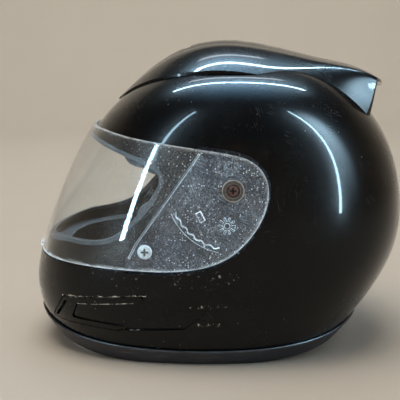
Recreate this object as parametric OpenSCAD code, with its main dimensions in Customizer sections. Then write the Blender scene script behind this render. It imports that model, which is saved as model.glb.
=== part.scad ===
// Full-face motorcycle helmet, front towards -Y, wearer's left towards +X, standing on its rim at Z = 0.

/* [Shell] */
// Length of the shell, chin to nape
shell_l = 336; // [330:1:405]
// Width of the shell
shell_w = 250; // [245:1:300]
// Height of the shell crown above the table
shell_h = 258; // [256:1:312]
// Wall of the outer shell
wall = 4.5; // [3.8:0.1:5.5]
// Squareness of the shell in plan
plan_square = 0.03; // [0:0.005:0.05]
// How much narrower the face is than the nape, as a share
plan_egg = 0.05; // [0:0.01:0.08]
// How much the rim is flattened towards its corners, so that it stands firmly
rim_flat = 2.4; // [0:0.1:3]
// Diameter of the crown air holes
crown_hole_d = 10; // [6:0.5:14]
// Distance of the crown air holes from the middle
crown_hole_x = 14; // [10:0.5:20]

/* [Visor] */
// Distance of the visor pivot behind the middle
pivot_y = 9; // [5:0.5:14]
// Height of the visor pivot
pivot_z = 155; // [150:0.5:160]
// Thickness of the visor
visor_t = 2.2; // [1.8:0.1:2.8]
// Height of the visor's lower edge
visor_low = 87; // [84:0.5:90]
// Height of the visor's top edge at the brow
visor_top = 200; // [196:0.5:204]
// How far the visor stands off the shell at the brow
visor_proud = 4.5; // [3:0.1:6]
// Bore of the visor on its pivot
visor_bore = 14.4; // [12:0.1:17.5]
// Wall of the visor hub round its bore
hub_wall = 3; // [2.5:0.1:4]
// How much thicker the hub is than the visor
hub_extra = 0.8; // [0.5:0.1:1.2]
// How far the hub lies below the visor's face
hub_sunk = 0.6; // [0.4:0.1:1]
// Angle that the visor opens
swing = 46; // [30:1:48]
// Width of the finger lip
lip_w = 34; // [20:1:50]
// How far the finger lip stands out
lip_out = 2; // [1:0.1:3]
// Height of the finger lip
lip_h = 3; // [2:0.5:5]

/* [Visor mechanism] */
// Depth of the side pocket below the shell at the pivot
pocket_depth = 10.3; // [8.5:0.1:12]
// Lean of the pocket floor towards the face
pocket_tilt = 6; // [4:0.5:8]
// Gap between the pocket wall and the visor's edge gap, room for the ear to swing
pocket_gap = 1.5; // [1:0.1:2.5]
// Thickness of the shell behind the pocket
pocket_back = 2.7; // [2:0.1:4]
// How far the backing reaches past the pocket
pocket_rim = 6; // [4:0.5:8]
// Thickness of the base plate
plate_t = 2; // [1.5:0.1:2.5]
// Radius of the ratchet track about the pivot
rack_r = 50; // [41:0.5:60]
// Width of the ratchet track outside its scallops
rack_rim = 3; // [2:0.1:4]
// Number of ratchet scallops
rack_teeth = 6; // [4:1:9]
// Depth of a ratchet scallop
tooth_h = 1.6; // [1:0.1:2]
// Diameter of the ratchet pin on the visor
pin_d = 3; // [2:0.1:4]
// Clear height under the ratchet pin
pin_clear = 0.9; // [0.6:0.1:1.5]
// Wall of the plate boss outside the hub
boss_wall = 1.5; // [1:0.1:2.5]
// Thickness of the bush under the screw head
bush_web = 2; // [1.5:0.1:2.5]
// Wall of the bush round the screw head
bush_wall = 1.7; // [1.2:0.1:2.2]
// Overhang of the bush flange
bush_flange = 1.7; // [1.2:0.1:2.5]
// Thickness of the bush flange
bush_flange_t = 1; // [0.8:0.1:1.5]
// Wall of the threaded inserts
insert_wall = 1.4; // [1:0.1:2]
// Overhang of the insert flange
insert_flange = 2; // [1:0.1:3]
// Thickness of the insert flange
insert_flange_t = 1.3; // [1:0.1:2]
// Length of the threaded inserts
insert_l = 5.7; // [4:0.1:8]
// Thread diameter of the screws
screw_d = 5; // [4:0.5:6]
// Head diameter of the base plate screw
head_d = 12; // [9:0.5:13]
// Head height of the base plate screw
head_h = 2.2; // [1.5:0.1:3]
// Raised seat under the base plate screw
screw_seat = 0.4; // [0.2:0.1:0.8]

/* [Crown fairing] */
// Wall of the fairing
fairing_wall = 2.8; // [2:0.1:4]
// Rearmost point of the fairing lip
fairing_tail = 148; // [140:1:155]
// Radius of the fairing lip in plan
tail_r = 90; // [80:1:120]
// Depth of the slider below the fairing deck
slider_sunk = 4; // [3:0.5:5]
// Thickness of the slider plate
slider_t = 1.8; // [1.4:0.1:2.4]
// How far the slider plate reaches past the slot's sides
slider_lap = 4; // [3:0.5:6]
// How far the slider plate reaches past the slot's ends
slider_end = 9; // [6:0.5:14]
// Wall of the rails that hold the slider plate
rail_wall = 3; // [2:0.5:5]
// Width of the slider slot
slot_w = 14; // [10:0.5:18]
// Front end of the slider slot
slot_front = -16; // [-20:0.5:-12]
// Rear end of the slider slot
slot_rear = 12; // [8:0.5:16]
// Length of the slider button
button_l = 14; // [10:0.5:16]

/* [Rim and lining] */
// Depth of the side channel behind the chin vent
channel_depth = 1.3; // [0.8:0.1:2]
// Height of the rim trim on the outside
trim_h = 13; // [8:0.5:18]
// Thickness of the rim trim
trim_t = 1.4; // [1:0.1:2]
// Height of the rim trim on the inside
trim_inside = 8; // [5:0.5:12]
// Depth of the rim trim below the shell's edge
trim_drop = 5.2; // [4.4:0.1:6.3]
// Rounding of the rim trim's lower edges
trim_round = 1.6; // [1:0.1:2]
// Width of the eye port gasket
gasket_w = 3.2; // [2:0.1:4]
// How far the gasket reaches in past the shell's wall
gasket_in = 3; // [2:0.5:5]
// Thickness of the foam liner
liner_t = 30; // [24:1:36]
// Thickness of the chin bar foam
chin_t = 19; // [14:1:24]
// Thickness of the crown pad
crown_pad_t = 9; // [6:0.5:12]
// Depth of the quilting in the crown pad
quilt_depth = 2.2; // [1:0.1:4]
// Spacing of the quilting
quilt_pitch = 56; // [40:1:80]
// Thickness of the cheek pads at their crown
cheek_t = 40; // [30:1:46]
// Thickness of the cheek pads at their edges
cheek_edge = 17; // [10:1:24]
// Corner radius of the cheek pads
cheek_corner = 16; // [8:1:24]
// Thickness of the neck roll
roll_t = 23; // [16:1:28]
// Height of the neck roll
roll_h = 18; // [12:1:24]
// Width of the chin strap
strap_w = 24; // [20:1:28]
// Thickness of the chin strap
strap_t = 2; // [1.5:0.1:2.5]
// Thickness of the strap anchor plates
anchor_t = 1.6; // [1.2:0.1:2.5]
// Gap between the anchor plates and the shell, for the shell's curve
anchor_gap = 2; // [1.8:0.1:3]
// Thickness of the rivet heads
rivet_head = 1.2; // [1:0.1:2]
// Wire of the strap rings
ring_wire = 3.6; // [3:0.1:4]

/* [Fits] */
// Gap between pieces that are fixed to each other
seat = 0.3; // [0.2:0.05:0.5]
// Gap between the visor and its seat in the shell
visor_gap = 0.7; // [0.5:0.05:1]
// Gap between the visor and the eye port gasket
gasket_gap = 0.6; // [0.5:0.05:1]
// Gap round the visor's edge
edge_gap = 1.3; // [1:0.1:2]
// Radial running gap of pins and bushes
running = 0.1; // [0.05:0.01:0.15]

/* [Hidden] */
$fn = 48;

// The profiles are drawn at this width, length and height and stretch with the shell.
drawn = [250, 336, 258];
stretch_l = shell_l / drawn.y;
stretch_w = shell_w / drawn.x;
stretch_h = shell_h / drawn.z;
// Control points from rim to crown: chin and brow, nape, and side as [distance, height].
front_pts = [for (p = [[-157, 23], [-175, 45], [-166, 95], [-126, 180], [-84, 235], [-30, 258], [15, 258]])
    [p.x * stretch_l, p.y * stretch_h]];
rear_pts = [for (p = [[121, 24.5], [141, 48], [168, 88], [168, 148], [143, 220], [80, 258], [15, 258]])
    [p.x * stretch_l, p.y * stretch_h]];
side_pts = [for (p = [[94, 3], [112, 32], [125, 85], [126, 160], [108, 225], [50, 258], [0, 258]])
    [p.x * stretch_w, p.y * stretch_h]];
// Side view outlines as [y, z] control points
ear_pts = [[-75, 194], [-10, 185], [28, 184], [43, 152], [22, 108], [-12, visor_low], [-60, visor_low]];
port_pts = [[-112, 194], [-84, 183], [-48, 176], [-42, 156], [-74, 118], [-94, 102], [-130, 103]];
vent_pts = [[-135, 57], [-61, 66], [-84, 31], [-148, 33]];
vent_slot_pts = [[-134, 53], [-131, 53], [-141, 36], [-144, 36]];
channel_pts = [[-67, 65], [5, 68], [-30, 36], [-90, 31.5]];
plate_front = [[-19, 185], [-72, 109], [-79, 96]];
plate_screw_at = [-62, 102];
// Fairing stations as [y, half width, shoulder, rise at the middle, shoulder drop, edge drop]
fairing_pts = [[-91, 6, 3, 2.5, 0.2, 1], [-76, 30, 10, 3, 0.6, 2], [-44, 58, 17, 14, 3, 11],
    [10, 69, 21, 19, 4, 12], [70, 67, 27, 8, 4, 22], [112, 77, 36, 15, 4, 42], [152, 57, 48, 44, 4, 36]];
fairing_edge = 2.6;
side_bow = 1.5;
// Side view outlines of the foam and the crown pad
liner_pts = [[8, 44 * stretch_h], [400, 108 * stretch_h], [400, 400], [-400, 400], [-400, 260],
    [-150, 216], [-46, 184], [-22, 176], [-22, 118], [8, 104]];
chin_pts = [[-400, 69 * stretch_h], [-92, 27 * stretch_h], [-92, 94], [-400, 92]];
crown_pts = [[-94, 168], [-30, 152], [60, 120], [400, 110], [400, 400], [-94, 400]];
crown_hole_y = [-6, 100];
vent_dish_pts = [[-122, 52], [-68, 59], [-82, 36], [-128, 38]];
port_clear = 4;
// Inward sag of the faceted inner faces
sag = 1.4;
// Facets round and up a layer, for the outer faces, shallow cuts, inner faces, foam, cushions and visor
fine = [54, 16];
middling = [40, 14];
coarse = [36, 11];
rough = [28, 9];
cushion = [80, 32];
clear = [60, 18];
far = 2 * shell_l;
deep = 60;
plane_y = 15 * stretch_l;

function lerp(a, b, k) = a + (b - a) * k;
function unit(v) = v / norm(v);
function share(a, b) = b > 0 ? a / b : 0;

// Clamped uniform cubic spline through a control polygon, t from 0 to 1
function knot(i, n) = min(max(i - 3, 0), n - 3);
function weight(i, k, s, n) = k == 0
    ? (knot(i, n) <= s && s < knot(i + 1, n) ? 1 : 0)
    : share(s - knot(i, n), knot(i + k, n) - knot(i, n)) * weight(i, k - 1, s, n)
    + share(knot(i + k + 1, n) - s, knot(i + k + 1, n) - knot(i + 1, n)) * weight(i + 1, k - 1, s, n);
function spline(pts, t) =
    let (n = len(pts), s = min(max(t, 0), 0.99999) * (n - 3))
    [for (i = [0 : n - 1]) weight(i, 3, s, n)] * pts;
function drawn_curve(pts, n) = [for (i = [0 : n]) spline(pts, i / n)];

// One ring of the shell: its front, rear and side points carried round by a squared, egg-shaped oval
function ring_of(t) =
    [spline(front_pts, t), spline(rear_pts, t), spline(side_pts, t),
        rim_flat * pow(max(1 - 4 * t, 0), 2) / 2];
function on_ring(ring, u) =
    let (f = ring[0], r = ring[1], w = ring[2], k = plan_square)
    let (mean = (f.y + r.y) / 2)
    [
        w.x * (1 - plan_egg * cos(u)) * (sin(u) + k * sin(3 * u)) / (1 - k),
        (f.x + r.x) / 2 - (r.x - f.x) / 2 * (cos(u) - k * cos(3 * u)) / (1 - k),
        (mean + w.y) / 2 + (f.y - r.y) / 2 * cos(u) + (mean - w.y) / 2 * cos(2 * u)
            - ring[3] * (1 - cos(4 * u))
    ];
function skin(t, u) = on_ring(ring_of(t), u);
function skin_normal(t, u) =
    unit(cross(skin(t, u + 1) - skin(t, u - 1), skin(t + 0.004, u) - skin(t - 0.004, u)));
function lifted_ring(t, nu, d) =
    let (at = ring_of(t), above = ring_of(t + 0.004), below = ring_of(t - 0.004))
    [for (j = [0 : nu - 1])
        let (u = 360 * j / nu, p = on_ring(at, u))
        let (along = on_ring(at, u + 1) - on_ring(at, u - 1), up = on_ring(above, u) - on_ring(below, u))
        p + d(p) * unit(cross(along, up))];

// Shell half width at a place of the side view, by Newton steps from the middle of the side
function side_fit(y, z, t, u, steps) = steps == 0 ? skin(t, u).x :
    let (p = skin(t, u), dt = (skin(t + 0.002, u) - p) / 0.002, du = skin(t, u + 1) - p)
    let (det = dt.y * du.z - du.y * dt.z, ey = y - p.y, ez = z - p.z)
    side_fit(y, z, t + (ey * du.z - du.y * ez) / det, u + (dt.y * ez - ey * dt.z) / det, steps - 1);
function half_width(y, z) = side_fit(y, z, 0.5, 90, 6);

// Height of the shell on its middle line, by halving
function mid_search(pts, y, lo, hi, steps) =
    let (mid = (lo + hi) / 2, p = spline(pts, mid))
    steps == 0 ? p.y
    : (p.x < y) == (pts[0].x < pts[6].x) ? mid_search(pts, y, mid, hi, steps - 1)
    : mid_search(pts, y, lo, mid, steps - 1);
function mid_height(y) = y < plane_y
    ? mid_search(front_pts, y, 0.25, 1, 14)
    : mid_search(rear_pts, y, 0.45, 1, 14);

// Offsets of the layers from the outer skin
skin_level = function (p) 0;
visor_level = function (p)
    visor_proud * pow(min(max((p.z - visor_low) / (visor_top - visor_low), 0), 1.1), 2);
visor_inside = function (p) visor_level(p) - visor_t;
visor_seat = function (p) min(visor_inside(p) - visor_gap, -seat);
gasket_level = function (p) visor_inside(p) - gasket_gap;
vent_t = 2.6;
vent_proud = 0.3;
vent_dish = 1;
channel_level = function (p) -seat - channel_depth * min(max(-p.y, 0) / 60, 1);
liner_out = wall + seat;
liner_in = liner_out + liner_t;
crown_in = liner_in + seat + crown_pad_t;
crown_level = function (p) -crown_in
    + quilt_depth * pow(abs(sin(180 * p.y / quilt_pitch)), 12)
    + quilt_depth * pow(abs(cos(180 * p.x / quilt_pitch)), 12);
cheek_mid = [-56, 66];
cheek_size = [60, 88];
cheek_level = function (p)
    let (a = 2 * (p.y - cheek_mid.x) / cheek_size.x, b = 2 * (p.z - cheek_mid.y) / cheek_size.y)
    -liner_out - lerp(cheek_edge, cheek_t, sqrt(max(0, 1 - pow(a, 4) - pow(b, 4))));
function level(d) = function (p) d;

pivot_x = half_width(pivot_y, pivot_z);
// A pocket in a wider or taller, rounder shell is deeper by as much.
floor_x = pivot_x - pocket_depth * stretch_w * stretch_h;
hub_r = visor_bore / 2 + hub_wall;
hub_out = pivot_x + visor_level([0, 0, pivot_z]) - hub_sunk;
hub_t = visor_t + hub_extra;
hub_in = hub_out - hub_t;
boss_r = hub_r + boss_wall;
// The boss ends below the hub, and below the visor's inside at the boss's own edge.
function under_visor(y, z) = half_width(y, z) + visor_inside([0, 0, z]) - seat;
boss_top = min(hub_in - seat, min([for (a = [0 : 45 : 315])
    under_visor(pivot_y + boss_r * cos(a), pivot_z + boss_r * sin(a))]));
// The ratchet runs below the front direction, from the open to the closed place of the pin.
rack_to = 73;
rack_from = rack_to - swing;
rack_end = 5;
rack_out = rack_r + rack_rim;
rack_front = [pivot_y - rack_out * cos(rack_from - rack_end), pivot_z - rack_out * sin(rack_from - rack_end)];
rack_top = half_width(rack_front.x, rack_front.y) + visor_inside([0, 0, rack_front.y]) - visor_gap;
rack_base = floor_x + plate_t - tan(pocket_tilt) * rack_out * cos(rack_from - rack_end) - seat;
pin_r = rack_r - tooth_h - pin_d / 2 - seat;
pin_tip = floor_x + plate_t - tan(pocket_tilt) * pin_r * cos(rack_to) + pin_clear;
// In a pocket shallower than drawn, the plate's edge is drawn in to stay clear of the visor.
drawn_depth = 10.3;
plate_inset = max(drawn_depth - pocket_depth, 0);
// Level of the relief that the visor's top edge swings over
relief_x = half_width(ear_pts[1].x, ear_pts[1].y) + visor_inside([0, 0, ear_pts[1].y]) - visor_gap - seat;

module fused() { resize([0, 0, 0]) children(); }
module on_side(side) { mirror([side < 0 ? 1 : 0, 0, 0]) children(); }
module outward() { rotate([90, 0, 90]) linear_extrude(far) children(); }
module along_x(length) { rotate([90, 0, 90]) linear_extrude(length, center = true) children(); }
module at_pivot(x) { translate([x, pivot_y, pivot_z]) rotate([90, 0, 90]) children(); }
module on_floor() {
    translate([floor_x, pivot_y, pivot_z]) rotate([0, 0, -pocket_tilt]) rotate([90, 0, 90]) children();
}
module at_screw(z) {
    on_floor() translate([plate_screw_at.x - pivot_y, plate_screw_at.y - pivot_z, z]) children();
}

// Closed solid up to a level over the outer skin, open sheets are cut from pairs of these
module layer(d, drop = 0, grid = fine) {
    nu = grid.x;
    nt = grid.y;
    rings = [for (i = [0 : nt - 1]) lifted_ring(i / nt, nu, d)];
    rows = drop > 0 ? concat([[for (p = rings[0]) [p.x, p.y, -drop]]], rings) : rings;
    low = min([for (p = rows[0]) p.z]);
    crown = [0, plane_y, shell_h + d([0, plane_y, shell_h])];
    count = len(rows) * nu;
    points = concat([for (row = rows) each row], [[0, 0, low], crown]);
    walls = [for (i = [0 : len(rows) - 2]) for (j = [0 : nu - 1])
        let (a = i * nu + j, b = i * nu + (j + 1) % nu)
        each [[a, a + nu, b + nu], [a, b + nu, b]]];
    base = [for (j = [0 : nu - 1]) [count, j, (j + 1) % nu]];
    top = [for (j = [0 : nu - 1]) [count - nu + j, count + 1, count - nu + (j + 1) % nu]];
    polyhedron(points, concat(walls, base, top), convexity = 6);
}

// Closed loop of equal sections
module closed_sweep(sections) {
    m = len(sections[0]);
    n = len(sections);
    polyhedron([for (s = sections) each s], [for (i = [0 : n - 1]) for (j = [0 : m - 1])
        let (a = i * m + j, b = i * m + (j + 1) % m, c = ((i + 1) % n) * m)
        each [[a, b, c + (j + 1) % m], [a, c + (j + 1) % m, c + j]]], convexity = 6);
}

// Open run of equal sections with flat ends
module open_sweep(sections) {
    m = len(sections[0]);
    n = len(sections);
    walls = [for (i = [0 : n - 2]) for (j = [0 : m - 1])
        let (a = i * m + j, b = i * m + (j + 1) % m)
        each [[a, b, b + m], [a, b + m, a + m]]];
    ends = [for (j = [1 : m - 2]) each [[0, j + 1, j], [(n - 1) * m, (n - 1) * m + j, (n - 1) * m + j + 1]]];
    polyhedron([for (s = sections) each s], concat(walls, ends), convexity = 6);
}

// Side view shapes
module visor_outline() {
    polygon(concat(drawn_curve(ear_pts, 26),
        [[-far, visor_low], [-far, visor_top + 2], [-114, visor_top], [-96, 198]]));
}
module port_shape() {
    polygon(concat(drawn_curve(port_pts, 24), [[-162, 97], [-far, 95], [-far, 220], [-160, 212]]));
}
module pocket_shape(grow) {
    translate([-pivot_y, -pivot_z]) intersection() {
        offset(delta = edge_gap + pocket_gap + grow) visor_outline();
        translate([-grow, 0]) polygon(concat(plate_front, [[-79, 40], [far, 40], [far, 260], [-19, 260]]));
    }
}
module swung_shape() {
    for (a = [swing / 4 : swing / 4 : swing]) rotate(-a) offset(delta = edge_gap + seat)
        translate([-pivot_y, -pivot_z]) visor_outline();
}
module vent_shape(inset) { offset(r = 2) offset(delta = -2 - inset) polygon(vent_pts); }

module pocket(grow, sink, height) {
    on_floor() translate([0, 0, -sink]) linear_extrude(height) pocket_shape(grow);
}

module outer_shell() {
    color([0.05, 0.05, 0.06]) fused() difference() {
        union() {
            difference() {
                layer(skin_level);
                layer(level(-wall), drop = deep, grid = coarse);
            }
            for (side = [-1, 1]) on_side(side) intersection() {
                layer(level(-1), grid = coarse);
                pocket(pocket_rim, pocket_back, deep);
            }
        }
        along_x(far) port_shape();
        difference() {
            along_x(far) offset(delta = edge_gap) visor_outline();
            layer(visor_seat);
        }
        for (side = [-1, 1]) on_side(side) {
            pocket(0, 0, deep);
            at_pivot(relief_x) linear_extrude(deep) swung_shape();
            at_pivot(floor_x - deep / 2) cylinder(d = screw_d + 1, h = deep, $fn = 20);
            at_screw(-deep / 2) cylinder(d = screw_d + 1, h = deep, $fn = 20);
            difference() {
                outward() vent_shape(0);
                layer(level(-vent_t), grid = middling);
            }
            difference() {
                outward() polygon(channel_pts);
                layer(channel_level, grid = middling);
            }
            outward() polygon(vent_slot_pts);
            for (y = crown_hole_y) translate([crown_hole_x, y, shell_h / 2])
                cylinder(d = crown_hole_d, h = far, $fn = 20);
        }
    }
}

// Rim trim, a solid bead swept round the edge with the shell's wall and its fit taken out
module bottom_trim() {
    inside = wall + 2 * seat + trim_t;
    sections = [for (j = [0 : 47])
        let (u = 7.5 * j, p = skin(0, u), n = skin_normal(0.002, u), up = unit(skin(0.01, u) - p))
        let (m = skin_normal(0.04, u), a = skin(0.04, u))
        let (top = p + (a - p) * trim_h / norm(a - p))
        [
            top + m * (2 * seat + trim_t),
            top - m * wall / 2,
            p - n * inside + up * trim_inside,
            p - n * inside - up * (trim_drop - trim_round),
            p - n * (inside - trim_round) - up * trim_drop,
            p + n * (2 * seat + trim_t - trim_round) - up * trim_drop,
            p + n * (2 * seat + trim_t) - up * (trim_drop - trim_round)
        ]];
    color([0.08, 0.08, 0.11]) fused() difference() {
        closed_sweep(sections);
        for (z = [0, -seat]) translate([0, 0, z]) difference() {
            layer(level(seat));
            layer(level(-wall - seat), drop = deep, grid = coarse);
        }
        translate([-far / 2, -far / 2, -far]) cube(far);
    }
}

module eyeport_gasket() {
    color([0.16, 0.16, 0.17]) fused() intersection() {
        difference() {
            layer(gasket_level, grid = clear);
            layer(level(-wall - gasket_in), drop = deep, grid = coarse);
        }
        along_x(far) difference() {
            offset(delta = -seat) port_shape();
            offset(delta = -seat - gasket_w) port_shape();
        }
    }
}

module eps_liner() {
    color([0.2, 0.2, 0.21]) fused() difference() {
        intersection() {
            layer(level(-liner_out), grid = coarse);
            along_x(far) polygon(liner_pts);
        }
        layer(level(-liner_in), drop = deep, grid = rough);
        along_x(far) offset(delta = port_clear) port_shape();
        for (side = [-1, 1]) on_side(side) {
            pocket(pocket_rim + seat, pocket_back + seat, deep);
            at_pivot(pivot_insert_x) insert_room();
        }
    }
}

module chin_eps() {
    color([0.22, 0.22, 0.23]) fused() difference() {
        intersection() {
            layer(level(-liner_out), grid = coarse);
            along_x(far) polygon(chin_pts);
        }
        layer(level(-liner_out - chin_t), drop = deep, grid = coarse);
        for (side = [-1, 1]) on_side(side) {
            pocket(pocket_rim + seat, pocket_back + seat, deep);
            outward() offset(delta = 2) polygon(vent_slot_pts);
        }
    }
}

module crown_pad() {
    color([0.14, 0.14, 0.15]) fused() difference() {
        intersection() {
            layer(level(-liner_in - seat), grid = rough);
            along_x(far) polygon(crown_pts);
        }
        layer(crown_level, drop = deep, grid = middling);
    }
}

module cheek_pad(side) {
    color([0.13, 0.13, 0.14]) on_side(side) fused() difference() {
        intersection() {
            layer(level(-liner_out - seat), grid = coarse);
            outward() translate(cheek_mid) offset(r = cheek_corner)
                square(cheek_size - 2 * cheek_corner * [1, 1], center = true);
        }
        layer(cheek_level, drop = deep, grid = cushion);
        pocket(pocket_rim + seat, pocket_back + seat, deep);
        at_screw(-pocket_back) insert_room();
    }
}
module cheek_pad_left() { cheek_pad(1); }
module cheek_pad_right() { cheek_pad(-1); }

module neck_roll() {
    color([0.13, 0.13, 0.14]) open_sweep([for (u = [106 : 6 : 254])
        let (p = skin(0.05, u), n = skin_normal(0.05, u), up = unit(skin(0.06, u) - p))
        let (fade = min(1, (74 - abs(u - 180)) / 12 + 0.55))
        let (c = p - n * (liner_out + sag + roll_t / 2))
        [for (a = [0 : 30 : 330])
            c + n * roll_t / 2 * cos(a) * fade + up * (roll_h / 2 * sin(a) * fade - roll_h / 6)]]);
}

module rack_outline() {
    steps = rack_teeth * 8;
    angles = [for (i = [0 : steps]) 180 + lerp(rack_from - rack_end, rack_to + rack_end, i / steps)];
    polygon(concat(
        [for (a = angles) rack_out * [cos(a), sin(a)]],
        [for (i = [steps : -1 : 0])
            (rack_r - tooth_h * (0.5 + 0.5 * cos(45 * i))) * [cos(angles[i]), sin(angles[i])]]));
}

module base_plate(side) {
    bore = screw_d + 2 * running;
    color([0.1, 0.1, 0.11]) on_side(side) difference() {
        union() {
            on_floor() linear_extrude(plate_t) offset(delta = -seat - plate_inset) pocket_shape(0);
            at_screw(0) cylinder(d = head_d + 5, h = plate_t + screw_seat);
            intersection() {
                union() {
                    at_pivot(rack_base) cylinder(r = boss_r, h = boss_top - rack_base);
                    at_pivot(rack_base) linear_extrude(rack_top - rack_base) rack_outline();
                }
                on_floor() translate([-far / 2, -far / 2, seat]) cube(far);
            }
            on_floor() translate([-30, -26, 0]) linear_extrude(plate_t + 1.2) difference() {
                square([9, 6]);
                offset(delta = -1.2) square([9, 6]);
            }
            on_floor() translate([-4, -30, 0]) cylinder(r = 4, h = plate_t + 0.6);
        }
        at_pivot(floor_x - deep / 2) cylinder(d = bore, h = deep);
        at_screw(-deep / 2) cylinder(d = bore, h = deep);
        at_screw(plate_t + screw_seat) cylinder(d = head_d + 6, h = deep);
    }
}
module base_plate_left() { base_plate(1); }
module base_plate_right() { base_plate(-1); }

// Flanged bush that the visor turns on, with a counterbore for the screw head
bush_h = hub_out + seat + bush_flange_t - boss_top;
module pivot_bush(side) {
    color([0.75, 0.76, 0.75]) on_side(side) difference() {
        union() {
            at_pivot(boss_top) cylinder(d = visor_bore - 2 * running, h = bush_h - bush_flange_t / 2);
            at_pivot(hub_out + seat) cylinder(d = visor_bore + 2 * bush_flange, h = bush_flange_t);
        }
        at_pivot(boss_top - deep / 2) cylinder(d = screw_d + 2 * running, h = deep);
        at_pivot(boss_top + bush_web) cylinder(d = visor_bore - 2 * bush_wall, h = deep);
    }
}
module pivot_bush_left() { pivot_bush(1); }
module pivot_bush_right() { pivot_bush(-1); }

// Domed screw head with a cross recess
recess_w = 1.1;
recess_depth = 1.3;
module cross_head(d, h) {
    difference() {
        rotate_extrude() intersection() {
            translate([0, h - d * 0.9]) circle(r = d * 0.9, $fn = 96);
            square([d / 2, h]);
        }
        for (a = [0, 90]) rotate(a) translate([-d / 4, -recess_w / 2, h - recess_depth])
            cube([d / 2, recess_w, h]);
    }
}

thread_end = pocket_back + insert_l;
module pivot_screw(side) {
    head_x = boss_top + bush_web;
    color([0.4, 0.2, 0.12]) on_side(side) union() {
        at_pivot(head_x) cross_head(visor_bore - 2 * bush_wall - 1, head_h);
        at_pivot(floor_x - thread_end) cylinder(d = screw_d, h = head_x - floor_x + thread_end + 0.4);
    }
}
module pivot_screw_left() { pivot_screw(1); }
module pivot_screw_right() { pivot_screw(-1); }

module plate_screw(side) {
    color([0.7, 0.7, 0.7]) on_side(side) union() {
        at_screw(plate_t + screw_seat) cross_head(head_d, head_h);
        at_screw(-thread_end) cylinder(d = screw_d, h = thread_end + plate_t + screw_seat + 0.4);
    }
}
module plate_screw_left() { plate_screw(1); }
module plate_screw_right() { plate_screw(-1); }

// Insert whose flange bears on the back of the pocket, and the room it needs in the foam
insert_d = screw_d + 2 * insert_wall;
insert_flange_d = insert_d + 2 * insert_flange;
pivot_insert_x = floor_x - pocket_back - tan(pocket_tilt) * insert_flange_d / 2;
module insert() {
    difference() {
        union() {
            translate([0, 0, -seat - insert_flange_t]) cylinder(d = insert_flange_d, h = insert_flange_t);
            translate([0, 0, -seat - insert_l]) cylinder(d = insert_d, h = insert_l);
        }
        translate([0, 0, -deep / 2]) cylinder(d = screw_d + 2 * running, h = deep);
    }
}
module insert_room() {
    translate([0, 0, -insert_l - 2]) cylinder(d = insert_flange_d + 2, h = insert_l + 6, $fn = 20);
}
module threaded_inserts() {
    color([0.75, 0.6, 0.3]) for (side = [-1, 1]) on_side(side) {
        at_pivot(pivot_insert_x) insert();
        at_screw(-pocket_back) insert();
    }
}

module visor() {
    color([0.85, 0.9, 0.92, 0.35]) difference() {
        fused() union() {
            difference() {
                intersection() {
                    layer(visor_level, grid = clear);
                    along_x(far) visor_outline();
                }
                layer(visor_inside, drop = deep, grid = clear);
                for (side = [-1, 1]) on_side(side)
                    at_pivot(hub_out) cylinder(r = hub_r + 0.5, h = deep, $fn = 32);
            }
            for (side = [-1, 1]) on_side(side) {
                at_pivot(hub_in) cylinder(r = hub_r, h = hub_t, $fn = 32);
                at_pivot(pin_tip) rotate(180 + rack_to) translate([pin_r, 0, 0])
                    cylinder(d = pin_d, h = hub_in - pin_tip + 1, $fn = 16);
            }
            difference() {
                intersection() {
                    layer(function (p) visor_level(p) + lip_out, grid = clear);
                    translate([-lip_w / 2, -far, visor_low]) cube([lip_w, far - 100, lip_h]);
                }
                layer(visor_inside, drop = deep, grid = clear);
            }
        }
        for (side = [-1, 1]) on_side(side) at_pivot(hub_in - 1) cylinder(d = visor_bore, h = deep / 2);
    }
}

// Section of the fairing at a station, from one edge over the ridge to the other
function fairing_half(s, inset) =
    let (mid = mid_height(s[0]), deck = mid + s[3] - inset, ridge = deck - s[4])
    let (edge = [max(s[1] - inset, 1), mid - s[5] + fairing_edge - inset])
    let (shoulder = max(s[2] - inset * 0.4, 0.6))
    concat(
        [[0, deck], [shoulder * 0.6, lerp(deck, ridge, 0.36)], [shoulder, ridge]],
        [for (k = [1 : 5]) let (q = k / 5)
            [lerp(shoulder, edge.x, q), lerp(ridge, edge.y, pow(q, side_bow))]],
        [[edge.x, edge.y - 24]]);
module fairing_form(inset, from) {
    stations = [for (i = [0 : 18]) spline(fairing_pts, lerp(from, 1, i / 18))];
    open_sweep([for (s = stations)
        let (h = fairing_half(s, inset), n = len(h))
        concat([for (i = [n - 1 : -1 : 1]) [h[i].x, s[0], h[i].y]], [for (p = h) [-p.x, s[0], p.y]])]);
}

deck_z = mid_height(0) + spline(fairing_pts, 0.48)[3] - 1.5;
slider_top = deck_z - slider_sunk;
slider_w = slot_w + 2 * slider_lap;
slider_l = slot_rear - slot_front + 2 * slider_end;
slider_mid = (slot_front + slot_rear) / 2;
slide = slot_rear - slot_front - button_l - 2;
rail_w = slider_w + 2 * rail_wall;

module top_fairing() {
    color([0.05, 0.05, 0.06]) fused() difference() {
        intersection() {
            union() {
                difference() {
                    fairing_form(0, 0);
                    fairing_form(fairing_wall, 0.24);
                }
                intersection() {
                    fairing_form(0.8, 0);
                    translate([-rail_w / 2, slider_mid - slider_l, slider_top - slider_t - rail_wall])
                        cube([rail_w, 2 * slider_l, deep]);
                }
            }
            union() {
                translate([0, fairing_tail - tail_r, 0]) cylinder(r = tail_r, h = far, $fn = 72);
                translate([-far / 2, -far, 0]) cube([far, far + fairing_tail - tail_r, far]);
            }
        }
        layer(level(seat));
        translate([-slot_w / 2, slot_front, slider_top - 1]) cube([slot_w, slot_rear - slot_front, deep]);
        translate([-slider_w / 2, slider_mid - slider_l / 2 - slide, slider_top - slider_t]
            - seat * [1, 1, 1]) cube([slider_w, slider_l + slide, slider_t] + 2 * seat * [1, 1, 1]);
        translate([-slot_w / 3, slot_front, slider_top - deep])
            cube([2 * slot_w / 3, slot_rear - slot_front - button_l, deep]);
    }
}

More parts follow.
